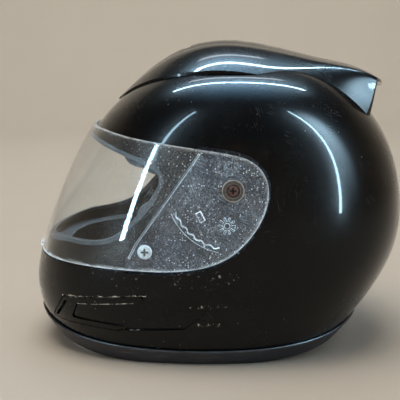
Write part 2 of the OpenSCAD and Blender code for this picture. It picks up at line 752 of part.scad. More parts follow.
module top_vent_slider() {
    color([0.03, 0.03, 0.03]) union() {
        translate([-slider_w / 2, slider_mid - slider_l / 2, slider_top - slider_t])
            cube([slider_w, slider_l, slider_t]);
        translate([-slot_w / 2 + seat, slot_rear - button_l - seat, slider_top - 0.5])
            cube([slot_w - 2 * seat, button_l, slider_sunk + 0.7]);
        for (i = [1 : 3]) translate([-slot_w / 2 + 1.5, slot_rear - button_l * (1 - i / 4) - 1, deck_z - 0.5])
            cube([slot_w - 3, 1.4, 1.3]);
    }
}

module chin_vent(side) {
    color([0.06, 0.06, 0.07]) on_side(side) fused() difference() {
        intersection() {
            layer(level(vent_proud), grid = middling);
            outward() vent_shape(seat);
        }
        layer(level(seat - vent_t), drop = deep, grid = middling);
        outward() polygon(vent_slot_pts);
        difference() {
            outward() offset(r = 2) offset(delta = -2) polygon(vent_dish_pts);
            layer(level(-vent_dish), grid = middling);
        }
    }
}
module chin_vent_left() { chin_vent(1); }
module chin_vent_right() { chin_vent(-1); }

// Strap route in its own plane, down the inside of the shell and in under the cheek pad
strap_y = -9;
anchor_z = 66;
anchor_x = half_width(strap_y, anchor_z) - wall;
strap_in = anchor_gap + anchor_t + seat + strap_t / 2 + 0.6;
function strap_inset(z) = half_width(strap_y, z) - wall - strap_in;
function ribbon(path, t) =
    let (n = len(path) - 1)
    let (ways = [for (i = [0 : n]) unit(path[min(i + 1, n)] - path[max(i - 1, 0)])])
    concat([for (i = [0 : n]) path[i] + [-ways[i].y, ways[i].x] * t / 2],
        [for (i = [n : -1 : 0]) path[i] - [-ways[i].y, ways[i].x] * t / 2]);
strap_down = [for (z = [anchor_z + 9, anchor_z, 54, 42, 30]) [strap_inset(z), z]];
rim_x = skin(0, 90).x;
ring_x = rim_x - 30;
ring_z = 5.5;
ring_gap = ring_wire + 1.2;
short_run = concat(strap_down, [[rim_x - 4, 21], [rim_x - 9, 14], [rim_x - 16, 9],
    [ring_x + 3, ring_z + ring_gap / 2]]);
long_run = concat(strap_down, [[rim_x - 4, 21], [rim_x - 10, 12], [rim_x - 17, 6], [rim_x - 28, 3],
    [rim_x - 31, 4], [rim_x - 32, 6], [rim_x - 30, 8], [rim_x - 22, 9.5]]);

module strap_band(run) {
    difference() {
        translate([0, strap_y, 0]) rotate([90, 0, 0])
            linear_extrude(strap_w, center = true) polygon(ribbon(run, strap_t));
        on_anchor() translate([0, 0, -deep / 2]) cylinder(d = screw_d + 2 * running, h = deep);
    }
}
module ring_loop(r, width) {
    translate([ring_x, strap_y, ring_z]) rotate([90, 0, 0]) union() {
        for (z = [0, ring_gap]) translate([0, z, 0]) cylinder(r = r, h = width, center = true);
        translate([0, ring_gap / 2, 0]) cube([2 * r, ring_gap, width], center = true);
    }
}
module chin_strap_left() {
    color([0.1, 0.1, 0.1]) difference() {
        union() {
            strap_band(short_run);
            ring_loop(ring_wire / 2 + strap_t, strap_w);
        }
        ring_loop(ring_wire / 2 + running, 2 * strap_w);
    }
}
module chin_strap_right() { color([0.1, 0.1, 0.1]) on_side(-1) strap_band(long_run); }

// Anchor plate on the inside of the shell, leaning with the strap, and the rivet that holds both
anchor_lean = atan2(strap_inset(anchor_z + 6) - strap_inset(anchor_z - 6), 12);
module on_anchor() {
    translate([anchor_x, strap_y, anchor_z]) rotate([0, anchor_lean, 0]) rotate([90, 0, 90]) children();
}
module strap_anchor(side) {
    color([0.6, 0.6, 0.62]) on_side(side) on_anchor() difference() {
        translate([0, 0, -anchor_gap - anchor_t]) linear_extrude(anchor_t)
            offset(r = 4) square([strap_w - 4, 8], center = true);
        translate([0, 0, -deep / 2]) cylinder(d = screw_d + 2 * running, h = deep);
    }
}
module strap_anchor_left() { strap_anchor(1); }
module strap_anchor_right() { strap_anchor(-1); }
module anchor_rivets() {
    head_at = -strap_in - strap_t / 2 - seat - rivet_head;
    color([0.6, 0.6, 0.62]) for (side = [-1, 1]) on_side(side) on_anchor() union() {
        translate([0, 0, head_at]) cylinder(d = screw_d + 4, h = rivet_head);
        translate([0, 0, head_at]) cylinder(d = screw_d, h = -head_at - anchor_gap + seat);
    }
}

module d_ring(z) {
    reach = strap_w / 2 + 3;
    color([0.75, 0.75, 0.77]) translate([ring_x, strap_y, z]) union() {
        rotate([90, 0, 0]) cylinder(d = ring_wire, h = 2 * reach, center = true);
        for (s = [-1, 1]) translate([0, s * reach, 0]) sphere(d = ring_wire);
        rotate([0, 0, 90]) rotate_extrude(angle = 180) translate([reach, 0]) circle(d = ring_wire);
    }
}
module d_ring_lower() { d_ring(ring_z); }
module d_ring_upper() { d_ring(ring_z + ring_gap); }

outer_shell();
bottom_trim();
eyeport_gasket();
eps_liner();
chin_eps();
crown_pad();
cheek_pad_left();
cheek_pad_right();
neck_roll();
base_plate_left();
base_plate_right();
pivot_bush_left();
pivot_bush_right();
pivot_screw_left();
pivot_screw_right();
plate_screw_left();
plate_screw_right();
threaded_inserts();
visor();
top_fairing();
top_vent_slider();
chin_vent_left();
chin_vent_right();
strap_anchor_left();
strap_anchor_right();
anchor_rivets();
chin_strap_left();
chin_strap_right();
d_ring_lower();
d_ring_upper();
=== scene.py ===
import math

import bpy
import numpy as np
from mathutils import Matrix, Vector
from mathutils.bvhtree import BVHTree


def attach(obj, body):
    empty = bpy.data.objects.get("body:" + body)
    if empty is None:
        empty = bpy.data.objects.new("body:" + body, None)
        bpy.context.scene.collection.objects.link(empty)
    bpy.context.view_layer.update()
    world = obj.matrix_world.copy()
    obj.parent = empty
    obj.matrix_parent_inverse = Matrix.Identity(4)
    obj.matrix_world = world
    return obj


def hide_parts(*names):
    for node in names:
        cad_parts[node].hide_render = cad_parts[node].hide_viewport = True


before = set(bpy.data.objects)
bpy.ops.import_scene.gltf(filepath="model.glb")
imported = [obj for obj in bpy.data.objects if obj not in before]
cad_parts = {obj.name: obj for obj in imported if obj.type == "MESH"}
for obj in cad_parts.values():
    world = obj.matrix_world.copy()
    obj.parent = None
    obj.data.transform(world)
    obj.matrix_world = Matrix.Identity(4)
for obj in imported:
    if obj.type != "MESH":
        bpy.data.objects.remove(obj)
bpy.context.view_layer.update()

# Outer shell: one glossy black moulding with the eye port, the visor's sunk seat and side pockets, the chin vent
# recesses and the crown air holes. Its form is carried round an egg-shaped plan from three profiles, and every piece
# that fits it is drawn from the same surface. Sizes are in millimetres until a mesh is made.
MM = 0.001
FRONT = [[-157, 23], [-175, 45], [-166, 95], [-126, 180], [-84, 235], [-30, 258], [15, 258]]
REAR = [[121, 24.5], [141, 48], [168, 88], [168, 148], [143, 220], [80, 258], [15, 258]]
SIDE = [[94, 3], [112, 32], [125, 85], [126, 160], [108, 225], [50, 258], [0, 258]]
SQUARE, EGG, RIM_FLAT, WALL, SEAT = 0.03, 0.05, 2.4, 4.5, 0.3
CROWN = np.array([0.0, 15.0, 258.0])
FAR, DEEP, OFF_MIDDLE, COARSE, WELD = 700, 60, 20, (200, 80), 0.000004


def spline(points, t):
    """Clamped cubic spline steered by the points, from its start at 0 to its end at 1."""
    points = np.asarray(points, float)
    n = len(points)
    knots = np.clip(np.arange(n + 4) - 3, 0, n - 3)
    s = np.clip(np.asarray(t, float), 0, 0.99999) * (n - 3)
    share = [((knots[i] <= s) & (s < knots[i + 1])).astype(float) for i in range(n + 3)]
    for k in (1, 2, 3):
        for i in range(n + 3 - k):
            left, right = knots[i + k] - knots[i], knots[i + k + 1] - knots[i + 1]
            share[i] = ((s - knots[i]) / left * share[i] if left else 0 * s) + (
                (knots[i + k + 1] - s) / right * share[i + 1] if right else 0 * s)
    return sum(share[i][..., None] * points[i] for i in range(n))


def skin(t, u):
    """Point of the outer surface: t runs from the rim to the crown, u round from the chin past the left side."""
    t, u = np.broadcast_arrays(np.asarray(t, float), np.asarray(u, float))
    f, r, w = spline(FRONT, t), spline(REAR, t), spline(SIDE, t)
    mean = (f[..., 1] + r[..., 1]) / 2
    flat = RIM_FLAT * np.maximum(1 - 4 * t, 0) ** 2 / 2
    x = w[..., 0] * (1 - EGG * np.cos(u)) * (np.sin(u) + SQUARE * np.sin(3 * u)) / (1 - SQUARE)
    y = (f[..., 0] + r[..., 0]) / 2 - (r[..., 0] - f[..., 0]) / 2 * (
        np.cos(u) - SQUARE * np.cos(3 * u)) / (1 - SQUARE)
    z = (mean + w[..., 1]) / 2 + (f[..., 1] - r[..., 1]) / 2 * np.cos(u) + (
        mean - w[..., 1]) / 2 * np.cos(2 * u) - flat * (1 - np.cos(4 * u))
    return np.stack([x, y, z], -1)


def unit(v):
    return v / np.linalg.norm(v, axis=-1, keepdims=True)


def skin_normal(t, u):
    return unit(np.cross(skin(t, u + 0.01) - skin(t, u - 0.01), skin(t + 0.004, u) - skin(t - 0.004, u)))


def half_width(y, z):
    """How far out the outer surface lies at a place of the side view, found in small steps."""
    t, u = 0.5, math.pi / 2
    for _ in range(8):
        p = skin(t, u)
        slopes = np.stack([(skin(t + 0.002, u) - p) / 0.002, (skin(t, u + 0.01) - p) / 0.01], 1)[1:]
        step = np.linalg.solve(slopes, [y - p[1], z - p[2]])
        t, u = t + step[0], u + step[1]
    return float(skin(t, u)[0])


def bands(rows, around, closed=False):
    """Four-sided faces between rings of points; closed joins the last ring to the first."""
    faces = []
    for i in range(rows if closed else rows - 1):
        this, above = i * around, (i + 1) % rows * around
        for j in range(around):
            k = (j + 1) % around
            faces.append((this + j, this + k, above + k, above + j))
    return faces


def layer(level, around=320, up=120, drop=0):
    """Closed form up to a level over the outer surface, a number or a function; a drop draws it down below the rim."""
    over = level if callable(level) else lambda p: np.full(p.shape[:-1], float(level))
    t, u = (np.arange(up) / up)[:, None], (np.arange(around) * 2 * math.pi / around)[None, :]
    rows = skin(t, u)
    rows = rows + over(rows)[..., None] * skin_normal(t, u)
    if drop:
        rows = np.concatenate([rows[:1] * [1, 1, 0] - [0, 0, drop], rows])
    ends = [[0, 0, rows[0, :, 2].min()], CROWN + [0, 0, float(over(CROWN[None])[0])]]
    faces, count = bands(len(rows), around), len(rows) * around
    for j in range(around):
        k = (j + 1) % around
        faces += [(count, k, j), (count - around + j, count - around + k, count + 1)]
    return np.concatenate([rows.reshape(-1, 3), ends]), faces


def ordered(outline):
    """The outline as an array that runs anticlockwise."""
    ring = np.asarray(outline, float)
    after = np.roll(ring, -1, 0)
    return ring if np.sum(ring[:, 0] * after[:, 1] - ring[:, 1] * after[:, 0]) > 0 else ring[::-1]


def circle(radius, at=(0, 0), steps=32):
    a = np.linspace(0, 2 * math.pi, steps, endpoint=False)
    return np.asarray(at, float) + radius * np.stack([np.cos(a), np.sin(a)], 1)


def prism(outline, low, high, axis="x"):
    """Closed slab of an outline: y and z drawn out along x, or x and y drawn out along z."""
    ring = ordered(outline)
    n = len(ring)
    ends = [np.full((n, 1), float(end)) for end in (low, high)]
    points = np.concatenate([np.hstack([end, ring] if axis == "x" else [ring, end]) for end in ends])
    return points, [tuple(range(n))[::-1], tuple(range(n, 2 * n))] + bands(2, n)


def through(outline, start=-FAR):
    """Slab of a side view outline through the whole helmet, or through its left side only."""
    return prism(outline, start, FAR)


def rod(low, high, radius, at, steps=32):
    """Round bar along x at a place of the side view."""
    return prism(circle(radius, at, steps), low, high)


def block(low, high):
    return prism([low[:2], [high[0], low[1]], high[:2], [low[0], high[1]]], low[2], high[2], "z")


def mirrored(form):
    return form[0] * [-1, 1, 1], [face[::-1] for face in form[1]]


def both(form):
    """A form and its mirror image on the other side, as one."""
    points, faces = mirrored(form)
    return np.concatenate([form[0], points]), form[1] + [tuple(i + len(points) for i in face) for face in faces]


def made(name, form):
    mesh = bpy.data.meshes.new(name)
    mesh.from_pydata((form[0] * MM).tolist(), [], form[1])
    piece = bpy.data.objects.new(name, mesh)
    bpy.context.scene.collection.objects.link(piece)
    return piece


def settled(piece):
    """Turns what the modifiers show into the piece's own mesh."""
    bpy.context.view_layer.update()
    mesh = bpy.data.meshes.new_from_object(piece.evaluated_get(bpy.context.evaluated_depsgraph_get()))
    piece.modifiers.clear()
    old, piece.data = piece.data, mesh
    bpy.data.meshes.remove(old)
    mesh.name = piece.name
    return piece


def solid(form):
    return form if isinstance(form, bpy.types.Object) else made("tool", form)


def carved(piece, *tools, how="DIFFERENCE"):
    """Takes tools, which are forms or pieces and are used up, out of a piece."""
    piece = solid(piece)
    for tool in tools:
        tool = solid(tool)
        cut = piece.modifiers.new("cut", "BOOLEAN")
        cut.operation, cut.solver, cut.object = how, "MANIFOLD", tool
        settled(piece)
        bpy.data.objects.remove(tool)
    return piece


def kept_in(piece, *tools):
    return carved(piece, *tools, how="INTERSECT")


def added(piece, *tools):
    return carved(piece, *tools, how="UNION")


def flipped(piece, name="tool"):
    """The same piece for the other side."""
    other = bpy.data.objects.new(name, piece.data.copy())
    bpy.context.scene.collection.objects.link(other)
    other.data.transform(((-1, 0, 0, 0), (0, 1, 0, 0), (0, 0, 1, 0), (0, 0, 0, 1)))
    other.data.flip_normals()
    return other


def outward(ring):
    """Outward direction of each side of an anticlockwise ring."""
    way = unit(np.roll(ring, -1, 0) - ring)
    return np.stack([way[:, 1], -way[:, 0]], 1)


def grown(outline, d):
    """The outline moved outwards by d at every side, corners kept sharp."""
    ring = ordered(outline)
    out = outward(ring)
    before = np.roll(out, 1, 0)
    return ring + d * (out + before) / (1 + np.sum(out * before, 1, keepdims=True))


def turned(outline, degrees, about=(0, 0)):
    a = math.radians(degrees)
    r = np.asarray(outline, float) - about
    return np.stack([r[:, 0] * math.cos(a) - r[:, 1] * math.sin(a),
                     r[:, 0] * math.sin(a) + r[:, 1] * math.cos(a)], 1) + about


def rounded(outline, radius, steps=6):
    """The outline with its corners rounded, for shapes without hollows."""
    inner = grown(outline, -radius)
    out = outward(inner)
    points = []
    for p, a, b in zip(inner, np.roll(out, 1, 0), out):
        turn = math.degrees(math.atan2(a[0] * b[1] - a[1] * b[0], float(a @ b)))
        points += [p + radius * turned([a], turn * k / steps)[0] for k in range(steps + 1)]
    return np.array(points)


def smoothed(piece, degrees=32):
    """Shades a piece smooth, with its edges beyond an angle kept sharp."""
    piece.modifiers.new("weld", "WELD").merge_threshold = WELD
    mesh = settled(piece).data
    mesh.shade_smooth()
    mesh.set_sharp_from_angle(angle=math.radians(degrees))
    return piece


def marked(piece, name, values, domain="POINT"):
    """Keeps a value for every point or face of a piece, for its material."""
    attribute = piece.data.attributes.new(name, "FLOAT", domain)
    attribute.data.foreach_set("value", np.asarray(values, np.float32))


def places(piece):
    points = np.zeros(len(piece.data.vertices) * 3, np.float32)
    piece.data.vertices.foreach_get("co", points)
    return points.reshape(-1, 3).astype(float) / MM


def moved(piece, points):
    piece.data.vertices.foreach_set("co", (points * MM).astype(np.float32).ravel())
    piece.data.update()


def beside(points, line):
    """Distance of flat points from a polyline, and how far along it each one lies."""
    line = np.asarray(line, float)
    best, along, start = np.full(len(points), 1e9), np.zeros(len(points)), 0.0
    for a, b in zip(line[:-1], line[1:]):
        way, length = b - a, np.linalg.norm(b - a)
        share = np.clip(((points - a) @ way) / max(way @ way, 1e-9), 0, 1)
        away = np.linalg.norm(points - a - share[:, None] * way, axis=1)
        along = np.where(away < best, start + share * length, along)
        best, start = np.minimum(best, away), start + length
    return best, along


VISOR_LOW, VISOR_TOP, VISOR_T, VISOR_PROUD, VISOR_GAP, EDGE_GAP = 87, 200, 2.2, 4.5, 0.7, 1.3
PIVOT = np.array([9.0, 155.0])
SWING, POCKET_DEPTH, POCKET_TILT, POCKET_BACK, POCKET_GAP, POCKET_RIM = 46, 10.3, 6, 2.7, 1.5, 6
POCKET_FRONT = np.array([[-19, 185], [-72, 109], [-79, 96], [-79, 40], [FAR, 40], [FAR, 260], [-19, 260]], float)
EAR = [[-75, 194], [-10, 185], [28, 184], [43, 152], [22, 108], [-12, VISOR_LOW], [-60, VISOR_LOW]]
PORT = [[-112, 194], [-84, 183], [-48, 176], [-42, 156], [-74, 118], [-94, 102], [-130, 103]]
BROW = [[-114, VISOR_TOP], [-96, 198]]
ear_line, port_line = (spline(line, np.linspace(0, 1, 61)) for line in (EAR, PORT))
visor_outline = np.concatenate([ear_line, [[-FAR, VISOR_LOW], [-FAR, VISOR_TOP + 2]], BROW])
port_outline = np.concatenate([port_line, [[-162, 97], [-FAR, 95], [-FAR, 220], [-160, 212]]])
VENT = [[-135, 57], [-61, 66], [-84, 31], [-148, 33]]
VENT_SLOT = [[-134, 53], [-131, 53], [-141, 36], [-144, 36]]
VENT_DISH = [[-122, 52], [-68, 59], [-82, 36], [-128, 38]]
CHANNEL = [[-67, 65], [5, 68], [-30, 36], [-90, 31.5]]
VENT_T, VENT_CORNER, CHANNEL_DEPTH, CHANNEL_RUN = 2.6, 2, 1.3, 60
PLATE_SCREW, SCREW_HOLE_R, SCREW_REACH = np.array([-62.0, 102.0]), 3, 30
AIR_HOLE_X, AIR_HOLES_Y, AIR_HOLE_R, AIR_HOLE_LOW = 14, (-6, 100), 5, 129
floor_x = half_width(*PIVOT) - POCKET_DEPTH


def visor_level(p):
    return VISOR_PROUD * np.clip((p[..., 2] - VISOR_LOW) / (VISOR_TOP - VISOR_LOW), 0, 1.1) ** 2


def visor_inside(p):
    return visor_level(p) - VISOR_T


def side_x(place, over):
    """How far out a level over the shell lies at a place of the side view."""
    return half_width(*place) + float(over(np.array([0, *place])))


def on_floor(form):
    """Carries a form drawn on the leaning pocket floor, x out of it, to its place."""
    a = math.radians(POCKET_TILT)
    p = form[0] - [0, *PIVOT]
    return np.stack([floor_x + p[:, 0] * math.cos(a) + p[:, 1] * math.sin(a),
                     PIVOT[0] - p[:, 0] * math.sin(a) + p[:, 1] * math.cos(a), PIVOT[1] + p[:, 2]], 1), form[1]


def pocket(grow, sink, height):
    """Room over the pocket floor, behind its front edge, grown at its sides and sunk below the floor."""
    room = on_floor(prism(grown(visor_outline, EDGE_GAP + POCKET_GAP + grow), -sink, height - sink))
    return kept_in(room, on_floor(prism(POCKET_FRONT - [grow, 0], -sink - 1, height)))


def both_sides(piece, room, how="DIFFERENCE"):
    return carved(piece, flipped(room), room, how=how)


shell = carved(made("shell", layer(0)), layer(-WALL, *COARSE, DEEP))
both_sides(shell, kept_in(pocket(POCKET_RIM, POCKET_BACK, DEEP), layer(-1, *COARSE)), "UNION")
carved(shell, through(port_outline))
carved(shell, carved(through(grown(visor_outline, EDGE_GAP)),
                     layer(lambda p: np.minimum(visor_inside(p) - VISOR_GAP, -SEAT))))
both_sides(shell, pocket(0, 0, DEEP))
relief_x = side_x(EAR[1], visor_inside) - VISOR_GAP - SEAT
for share in (0.25, 0.5, 0.75, 1):
    swung = turned(grown(visor_outline, EDGE_GAP + SEAT), -SWING * share, PIVOT)
    carved(shell, both(prism(swung, relief_x, relief_x + DEEP)))
carved(shell, carved(both(through(rounded(VENT, VENT_CORNER), OFF_MIDDLE)), layer(-VENT_T)))
carved(shell, carved(both(through(CHANNEL, OFF_MIDDLE)), layer(
    lambda p: -SEAT - CHANNEL_DEPTH * np.clip(-p[..., 1] / CHANNEL_RUN, 0, 1))))
carved(shell, both(through(VENT_SLOT, OFF_MIDDLE)),
       both(rod(floor_x - SCREW_REACH, floor_x + SCREW_REACH, SCREW_HOLE_R, PIVOT)),
       both(on_floor(rod(-SCREW_REACH, SCREW_REACH, SCREW_HOLE_R, PLATE_SCREW))))
for y in AIR_HOLES_Y:
    carved(shell, both(prism(circle(AIR_HOLE_R, (AIR_HOLE_X, y), 24), AIR_HOLE_LOW, FAR, "z")))
smoothed(shell)

# Chipped places, the first of them a painted highlight along the chin vent's upper edge: a line of the side view,
# how strong the mark is, and how far from it the mark reaches.
CHIPS_AND_GLINTS = ((VENT[:2], 0.9, 2.4), ([[-112, 84], [-70, 81]], 0.68, 9), ([[-40, 80], [-8, 80], [8, 86]], 0.7, 14),
           ([[-24, 57], [8, 60]], 0.72, 5), ([[-22, 40], [0, 42]], 0.74, 5), ([[-86, 33], [-66, 34]], 0.85, 2))
FRONT_CHIPS, FRONT_WEAR, FRONT_REACH = (46, -152, 84), 0.76, 13


def fading(distance, most, reach):
    """A pale mark that holds up to half its reach and fades from there."""
    return most * np.clip(2 - 2 * distance / reach, 0, 1)


points = places(shell)
wear_and_glint = [fading(beside(points[:, 1:], line)[0], most, reach) for line, most, reach in CHIPS_AND_GLINTS]
wear_and_glint.append(fading(np.linalg.norm(points - FRONT_CHIPS, axis=1), FRONT_WEAR, FRONT_REACH))
marked(shell, "wear_and_glint", np.max(wear_and_glint, axis=0))


def add(tree, kind, inputs=None, **settings):
    """One node of a tree, with values or links for its inputs."""
    new = tree.nodes.new(kind)
    for key, value in settings.items():
        setattr(new, key, value)
    for key, value in (inputs or {}).items():
        if isinstance(value, bpy.types.NodeSocket):
            tree.links.new(value, new.inputs[key])
        else:
            new.inputs[key].default_value = value
    return new


class Finish:
    """A material in the making, with its shader and the place on the piece in metres."""

    def __init__(self, name, colour, roughness, **sockets):
        self.material = bpy.data.materials.new(name)
        self.material.use_nodes = True
        self.tree = self.material.node_tree
        self.shader = self.tree.nodes["Principled BSDF"]
        for socket, value in {"Base_Color": (*colour, 1), "Roughness": roughness, **sockets}.items():
            self.shader.inputs[socket.replace("_", " ")].default_value = value
        self.place = self.node("TexCoord").outputs["Object"]

    def node(self, kind, inputs=None, **settings):
        return add(self.tree, "ShaderNode" + kind, inputs, **settings)

    def show(self, **values):
        """Links what was worked out to the shader."""
        for socket, value in values.items():
            self.tree.links.new(value, self.shader.inputs[socket.replace("_", " ")])

    def bump(self, height, strength, distance):
        self.show(Normal=self.node("Bump", {"Height": height, "Strength": strength,
                                            "Distance": distance}).outputs["Normal"])

    def maths(self, how, *values, clamp=False):
        return self.node("Math", dict(enumerate(values)), operation=how, use_clamp=clamp).outputs[0]

    def vector(self, how, *values):
        return self.node("VectorMath", dict(enumerate(values)), operation=how).outputs[0]

    def times(self, result, *others):
        for value in others:
            result = self.maths("MULTIPLY", result, value, clamp=True)
        return result

    def most(self, result, *others):
        for value in others:
            result = self.maths("MAXIMUM", result, value, clamp=True)
        return result

    def attribute(self, name):
        return self.node("Attribute", attribute_name=name).outputs["Fac"]

    def noise(self, scale, detail=3, rough=0.55, place=None):
        place = self.place if place is None else place
        inputs = {"Vector": place, "Scale": scale, "Detail": detail, "Roughness": rough}
        return self.node("TexNoise", inputs).outputs["Fac"]

    def ranged(self, value, low, high, bottom=0.0, top=1.0):
        return self.node("MapRange", {"Value": value, "From Min": low, "From Max": high, "To Min": bottom,
                                      "To Max": top}).outputs["Result"]

    def patches(self, low, high, scale, detail=3, rough=0.55, place=None, bottom=0.0):
        """Noise, stretched so that it goes from the bottom to one between two of its values."""
        return self.ranged(self.noise(scale, detail, rough, place), low, high, bottom)

    def mixed(self, share, a, b, amount=None):
        """Colour a, going over to b by the share, or by an amount of it."""
        share = share if amount is None else self.times(share, amount)
        colours = {k: v if isinstance(v, bpy.types.NodeSocket) else (*v, 1) for k, v in ((6, a), (7, b))}
        return self.node("Mix", {0: share, **colours}, data_type="RGBA").outputs[2]

    def bent(self, scale, far):
        """The place, moved about gently so that lines drawn on it wander."""
        drift = self.node("TexNoise", {"Vector": self.place, "Scale": scale, "Detail": 1.0}).outputs["Color"]
        return self.vector("MULTIPLY_ADD", self.vector("SUBTRACT", drift, (0.5, 0.5, 0.5)), (far, far, far), self.place)

    def hairlines(self, turn, fine, low, high, length, place=None):
        """Thin scratches that run one way over the side, turned by an angle in degrees."""
        along = self.node("Mapping", {"Vector": self.place if place is None else place, "Scale": (6, length, 1),
                                      "Rotation": (math.radians(turn), 0, 0)}, vector_type="TEXTURE")
        return self.patches(low, high, fine, 2, 0.4, along.outputs["Vector"])

    def scratches(self, ways, share=0.6):
        """Scratches in several directions, each in patches of its own, so that they seldom cross."""
        wander, found = self.bent(14, 0.05), []
        for k in range(ways):
            shift = self.node("Mapping", {"Vector": self.place, "Location": (0.31 * k, 0.17 * k, 0.23 * k)})
            patch = self.patches(share - 0.02, share + 0.05, 26 + 5 * k, 2, place=shift.outputs["Vector"])
            lines = self.hairlines(68 - 137 * k, 1900 + 310 * k, 0.62, 0.69, 44 + 13 * (k % 3), wander)
            found.append(self.times(lines, patch))
        return self.most(*found)

    def specks(self, scale, size, share):
        """Small dots, in that share of a cell pattern."""
        cells = self.node("TexVoronoi", {"Vector": self.place, "Scale": scale}).outputs
        dot = self.ranged(cells["Distance"], size, size * 0.5)
        return self.times(dot, self.maths("GREATER_THAN", cells["Color"], 1 - share))


def gloss_black(name, pale_marked):
    """Black plastic, hazed by fine rubbing, under its own shine, with scratches, dust and, if marked, pale chips and a
    painted highlight on the chin vent's upper edges.
    """
    black = (0.002, 0.002, 0.0025)
    gloss = Finish(name, black, 0.3, Specular_IOR_Level=0.11, Coat_Weight=1.0, Coat_Roughness=0.045, Coat_IOR=1.21)
    haze = gloss.patches(0.45, 0.75, 14, 5, 0.65)
    lines = gloss.scratches(4, 0.64)
    dust = gloss.most(gloss.specks(210, 0.13, 0.2), gloss.specks(90, 0.085, 0.14))
    dust = gloss.times(dust, gloss.patches(0.4, 0.62, 9))
    colour = gloss.mixed(haze, black, (0.4, 0.42, 0.45), 0.006)
    colour = gloss.mixed(lines, colour, (0.5, 0.5, 0.5), 0.09)
    colour = gloss.mixed(dust, colour, (0.7, 0.69, 0.66), 0.4)
    marks = gloss.most(gloss.times(lines, 0.6), dust)
    if pale_marked:
        # Pale marks from the attribute: real chips, and along the chin vent's upper edges a painted highlight for the
        # bright reflections there.
        chips_and_glints = gloss.ranged(gloss.times(gloss.attribute("wear_and_glint"), gloss.noise(230, 5, 0.8)), 0.42, 0.48)
        colour = gloss.mixed(chips_and_glints, colour, (0.86, 0.85, 0.82))
        marks = gloss.most(marks, chips_and_glints)
    rough = gloss.node("Mix", {0: marks, 2: gloss.ranged(haze, 0, 1, 0.24, 0.36), 3: 0.55}).outputs[0]
    gloss.show(Base_Color=colour, Roughness=rough)
    gloss.bump(gloss.noise(45, 2, 0.4), 0.05, 0.002)
    return gloss.material


def fitted(piece, material, slot, *nodes, body="helmet"):
    """Dresses a finished piece and puts it on its body, in place of the nodes it stands for."""
    if material:
        piece.data.materials.clear()
        piece.data.materials.append(material)
    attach(piece, body)
    if nodes:
        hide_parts(*nodes)
    return piece


fitted(shell, gloss_black("shell_gloss_black", True), "shell_gloss", "outer_shell")

# Rim trim: a soft rubber bead, U-shaped in section, pushed over the shell's lower edge and rounded underneath. It is
# one extrusion, bent round the rim and glued, with a thin raised line along its upper lip.
TRIM_TURNS, TRIM_CLIMB = 288, np.linspace(0, 0.12, 49)
TRIM_SECTION = [(0.3, 13.1), (0.9, 13.6), (1.7, 13.5), (2.3, 12.9), (2.35, 12.1), (2.0, 11.4), (1.9, 10.6), (2.0, 8),
                (2.05, 4), (2.0, 0), (2.0, -3.6), (1.6, -4.7), (0.4, -5.2), (-4.9, -5.2), (-6.1, -4.7), (-6.5, -3.6),
                (-6.5, 0), (-6.5, 7.6), (-6.1, 8.1), (-5.2, 8.1), (-4.8, 7.6), (-4.8, 0), (-4.8, -0.3), (0.3, -0.3),
                (0.3, 0), (0.3, 4), (0.3, 8)]


def swept(sections, closed=False):
    """Skin over equal rings of points, closed round or with flat ends, faces outwards."""
    sections = np.asarray(sections, float)
    n, m = sections.shape[:2]
    points, faces = sections.reshape(-1, 3), bands(n, m, closed)
    if not closed:
        faces += [tuple(range(m))[::-1], tuple(range((n - 1) * m, n * m))]
    volume = 0
    for face in faces:
        p = points[list(face)]
        volume += sum(p[0] @ np.cross(a, b) for a, b in zip(p[1:-1], p[2:]))
    return points, faces if volume > 0 else [face[::-1] for face in faces]


around_rim = np.arange(TRIM_TURNS) * 2 * math.pi / TRIM_TURNS
rim, rim_out = skin(0, around_rim), skin_normal(0.002, around_rim)
rim_up = unit(skin(0.01, around_rim) - rim)
climbed = np.linalg.norm(skin(TRIM_CLIMB[:, None], around_rim[None]) - rim[None], axis=2)
rings = []
for out, height in TRIM_SECTION:
    if height > 0:
        t = np.array([np.interp(height, climbed[:, j], TRIM_CLIMB) for j in range(TRIM_TURNS)])
        rings.append(skin(t, around_rim) + out * skin_normal(t, around_rim))
    else:
        rings.append(rim + out * rim_out + height * rim_up)
rings = np.stack(rings, 1)
rings[..., 2] = np.maximum(rings[..., 2], 0)
trim = smoothed(made("rim_trim", swept(rings, True)), 50)
rubber = Finish("trim_rubber", (0.02, 0.022, 0.032), 0.5)
scuffs = rubber.times(rubber.hairlines(6, 1100, 0.6, 0.72, 40), rubber.patches(0.42, 0.62, 18))
dusty = rubber.patches(0.5, 0.8, 30, 4, 0.7)
colour = rubber.mixed(dusty, (0.018, 0.02, 0.031), (0.32, 0.29, 0.25), 0.12)
rubber.show(Base_Color=rubber.mixed(scuffs, colour, (0.4, 0.39, 0.37), 0.3),
            Roughness=rubber.ranged(dusty, 0, 1, 0.38, 0.68))
rubber.bump(rubber.noise(700), 0.12, 0.0004)
fitted(trim, rubber.material, "trim_rubber", "bottom_trim")

# Eye port seal: a soft grey rubber strip stuck round the edge of the eye port, which the closed visor lies against.
# It is moulded flat and bent into place, and dust has settled in its pores.
SEAL_GAP, SEAL_BACK, SEAL_W, DULL = 0.6, 3, 3.2, 0.15
seal = carved(made("eyeport_seal", layer(lambda p: visor_inside(p) - SEAL_GAP, 300, 110)),
              layer(-WALL - SEAL_BACK, 240, 90, DEEP))
kept_in(seal, through(grown(port_outline, -SEAT)))
carved(seal, through(grown(port_outline, -SEAT - SEAL_W)))
grey = Finish("seal_rubber", (0.06, 0.06, 0.063), 0.6, Specular_IOR_Level=DULL)
grime = grey.patches(0.4, 0.75, 60, 4, 0.7)
grey.show(Base_Color=grey.mixed(grime, (0.036, 0.037, 0.04), (0.088, 0.088, 0.087)),
          Roughness=grey.ranged(grime, 0, 1, 0.5, 0.75))
grey.bump(grey.noise(900, 2), 0.15, 0.0003)
fitted(smoothed(seal, 40), grey.material, "gasket_rubber", "eyeport_gasket")

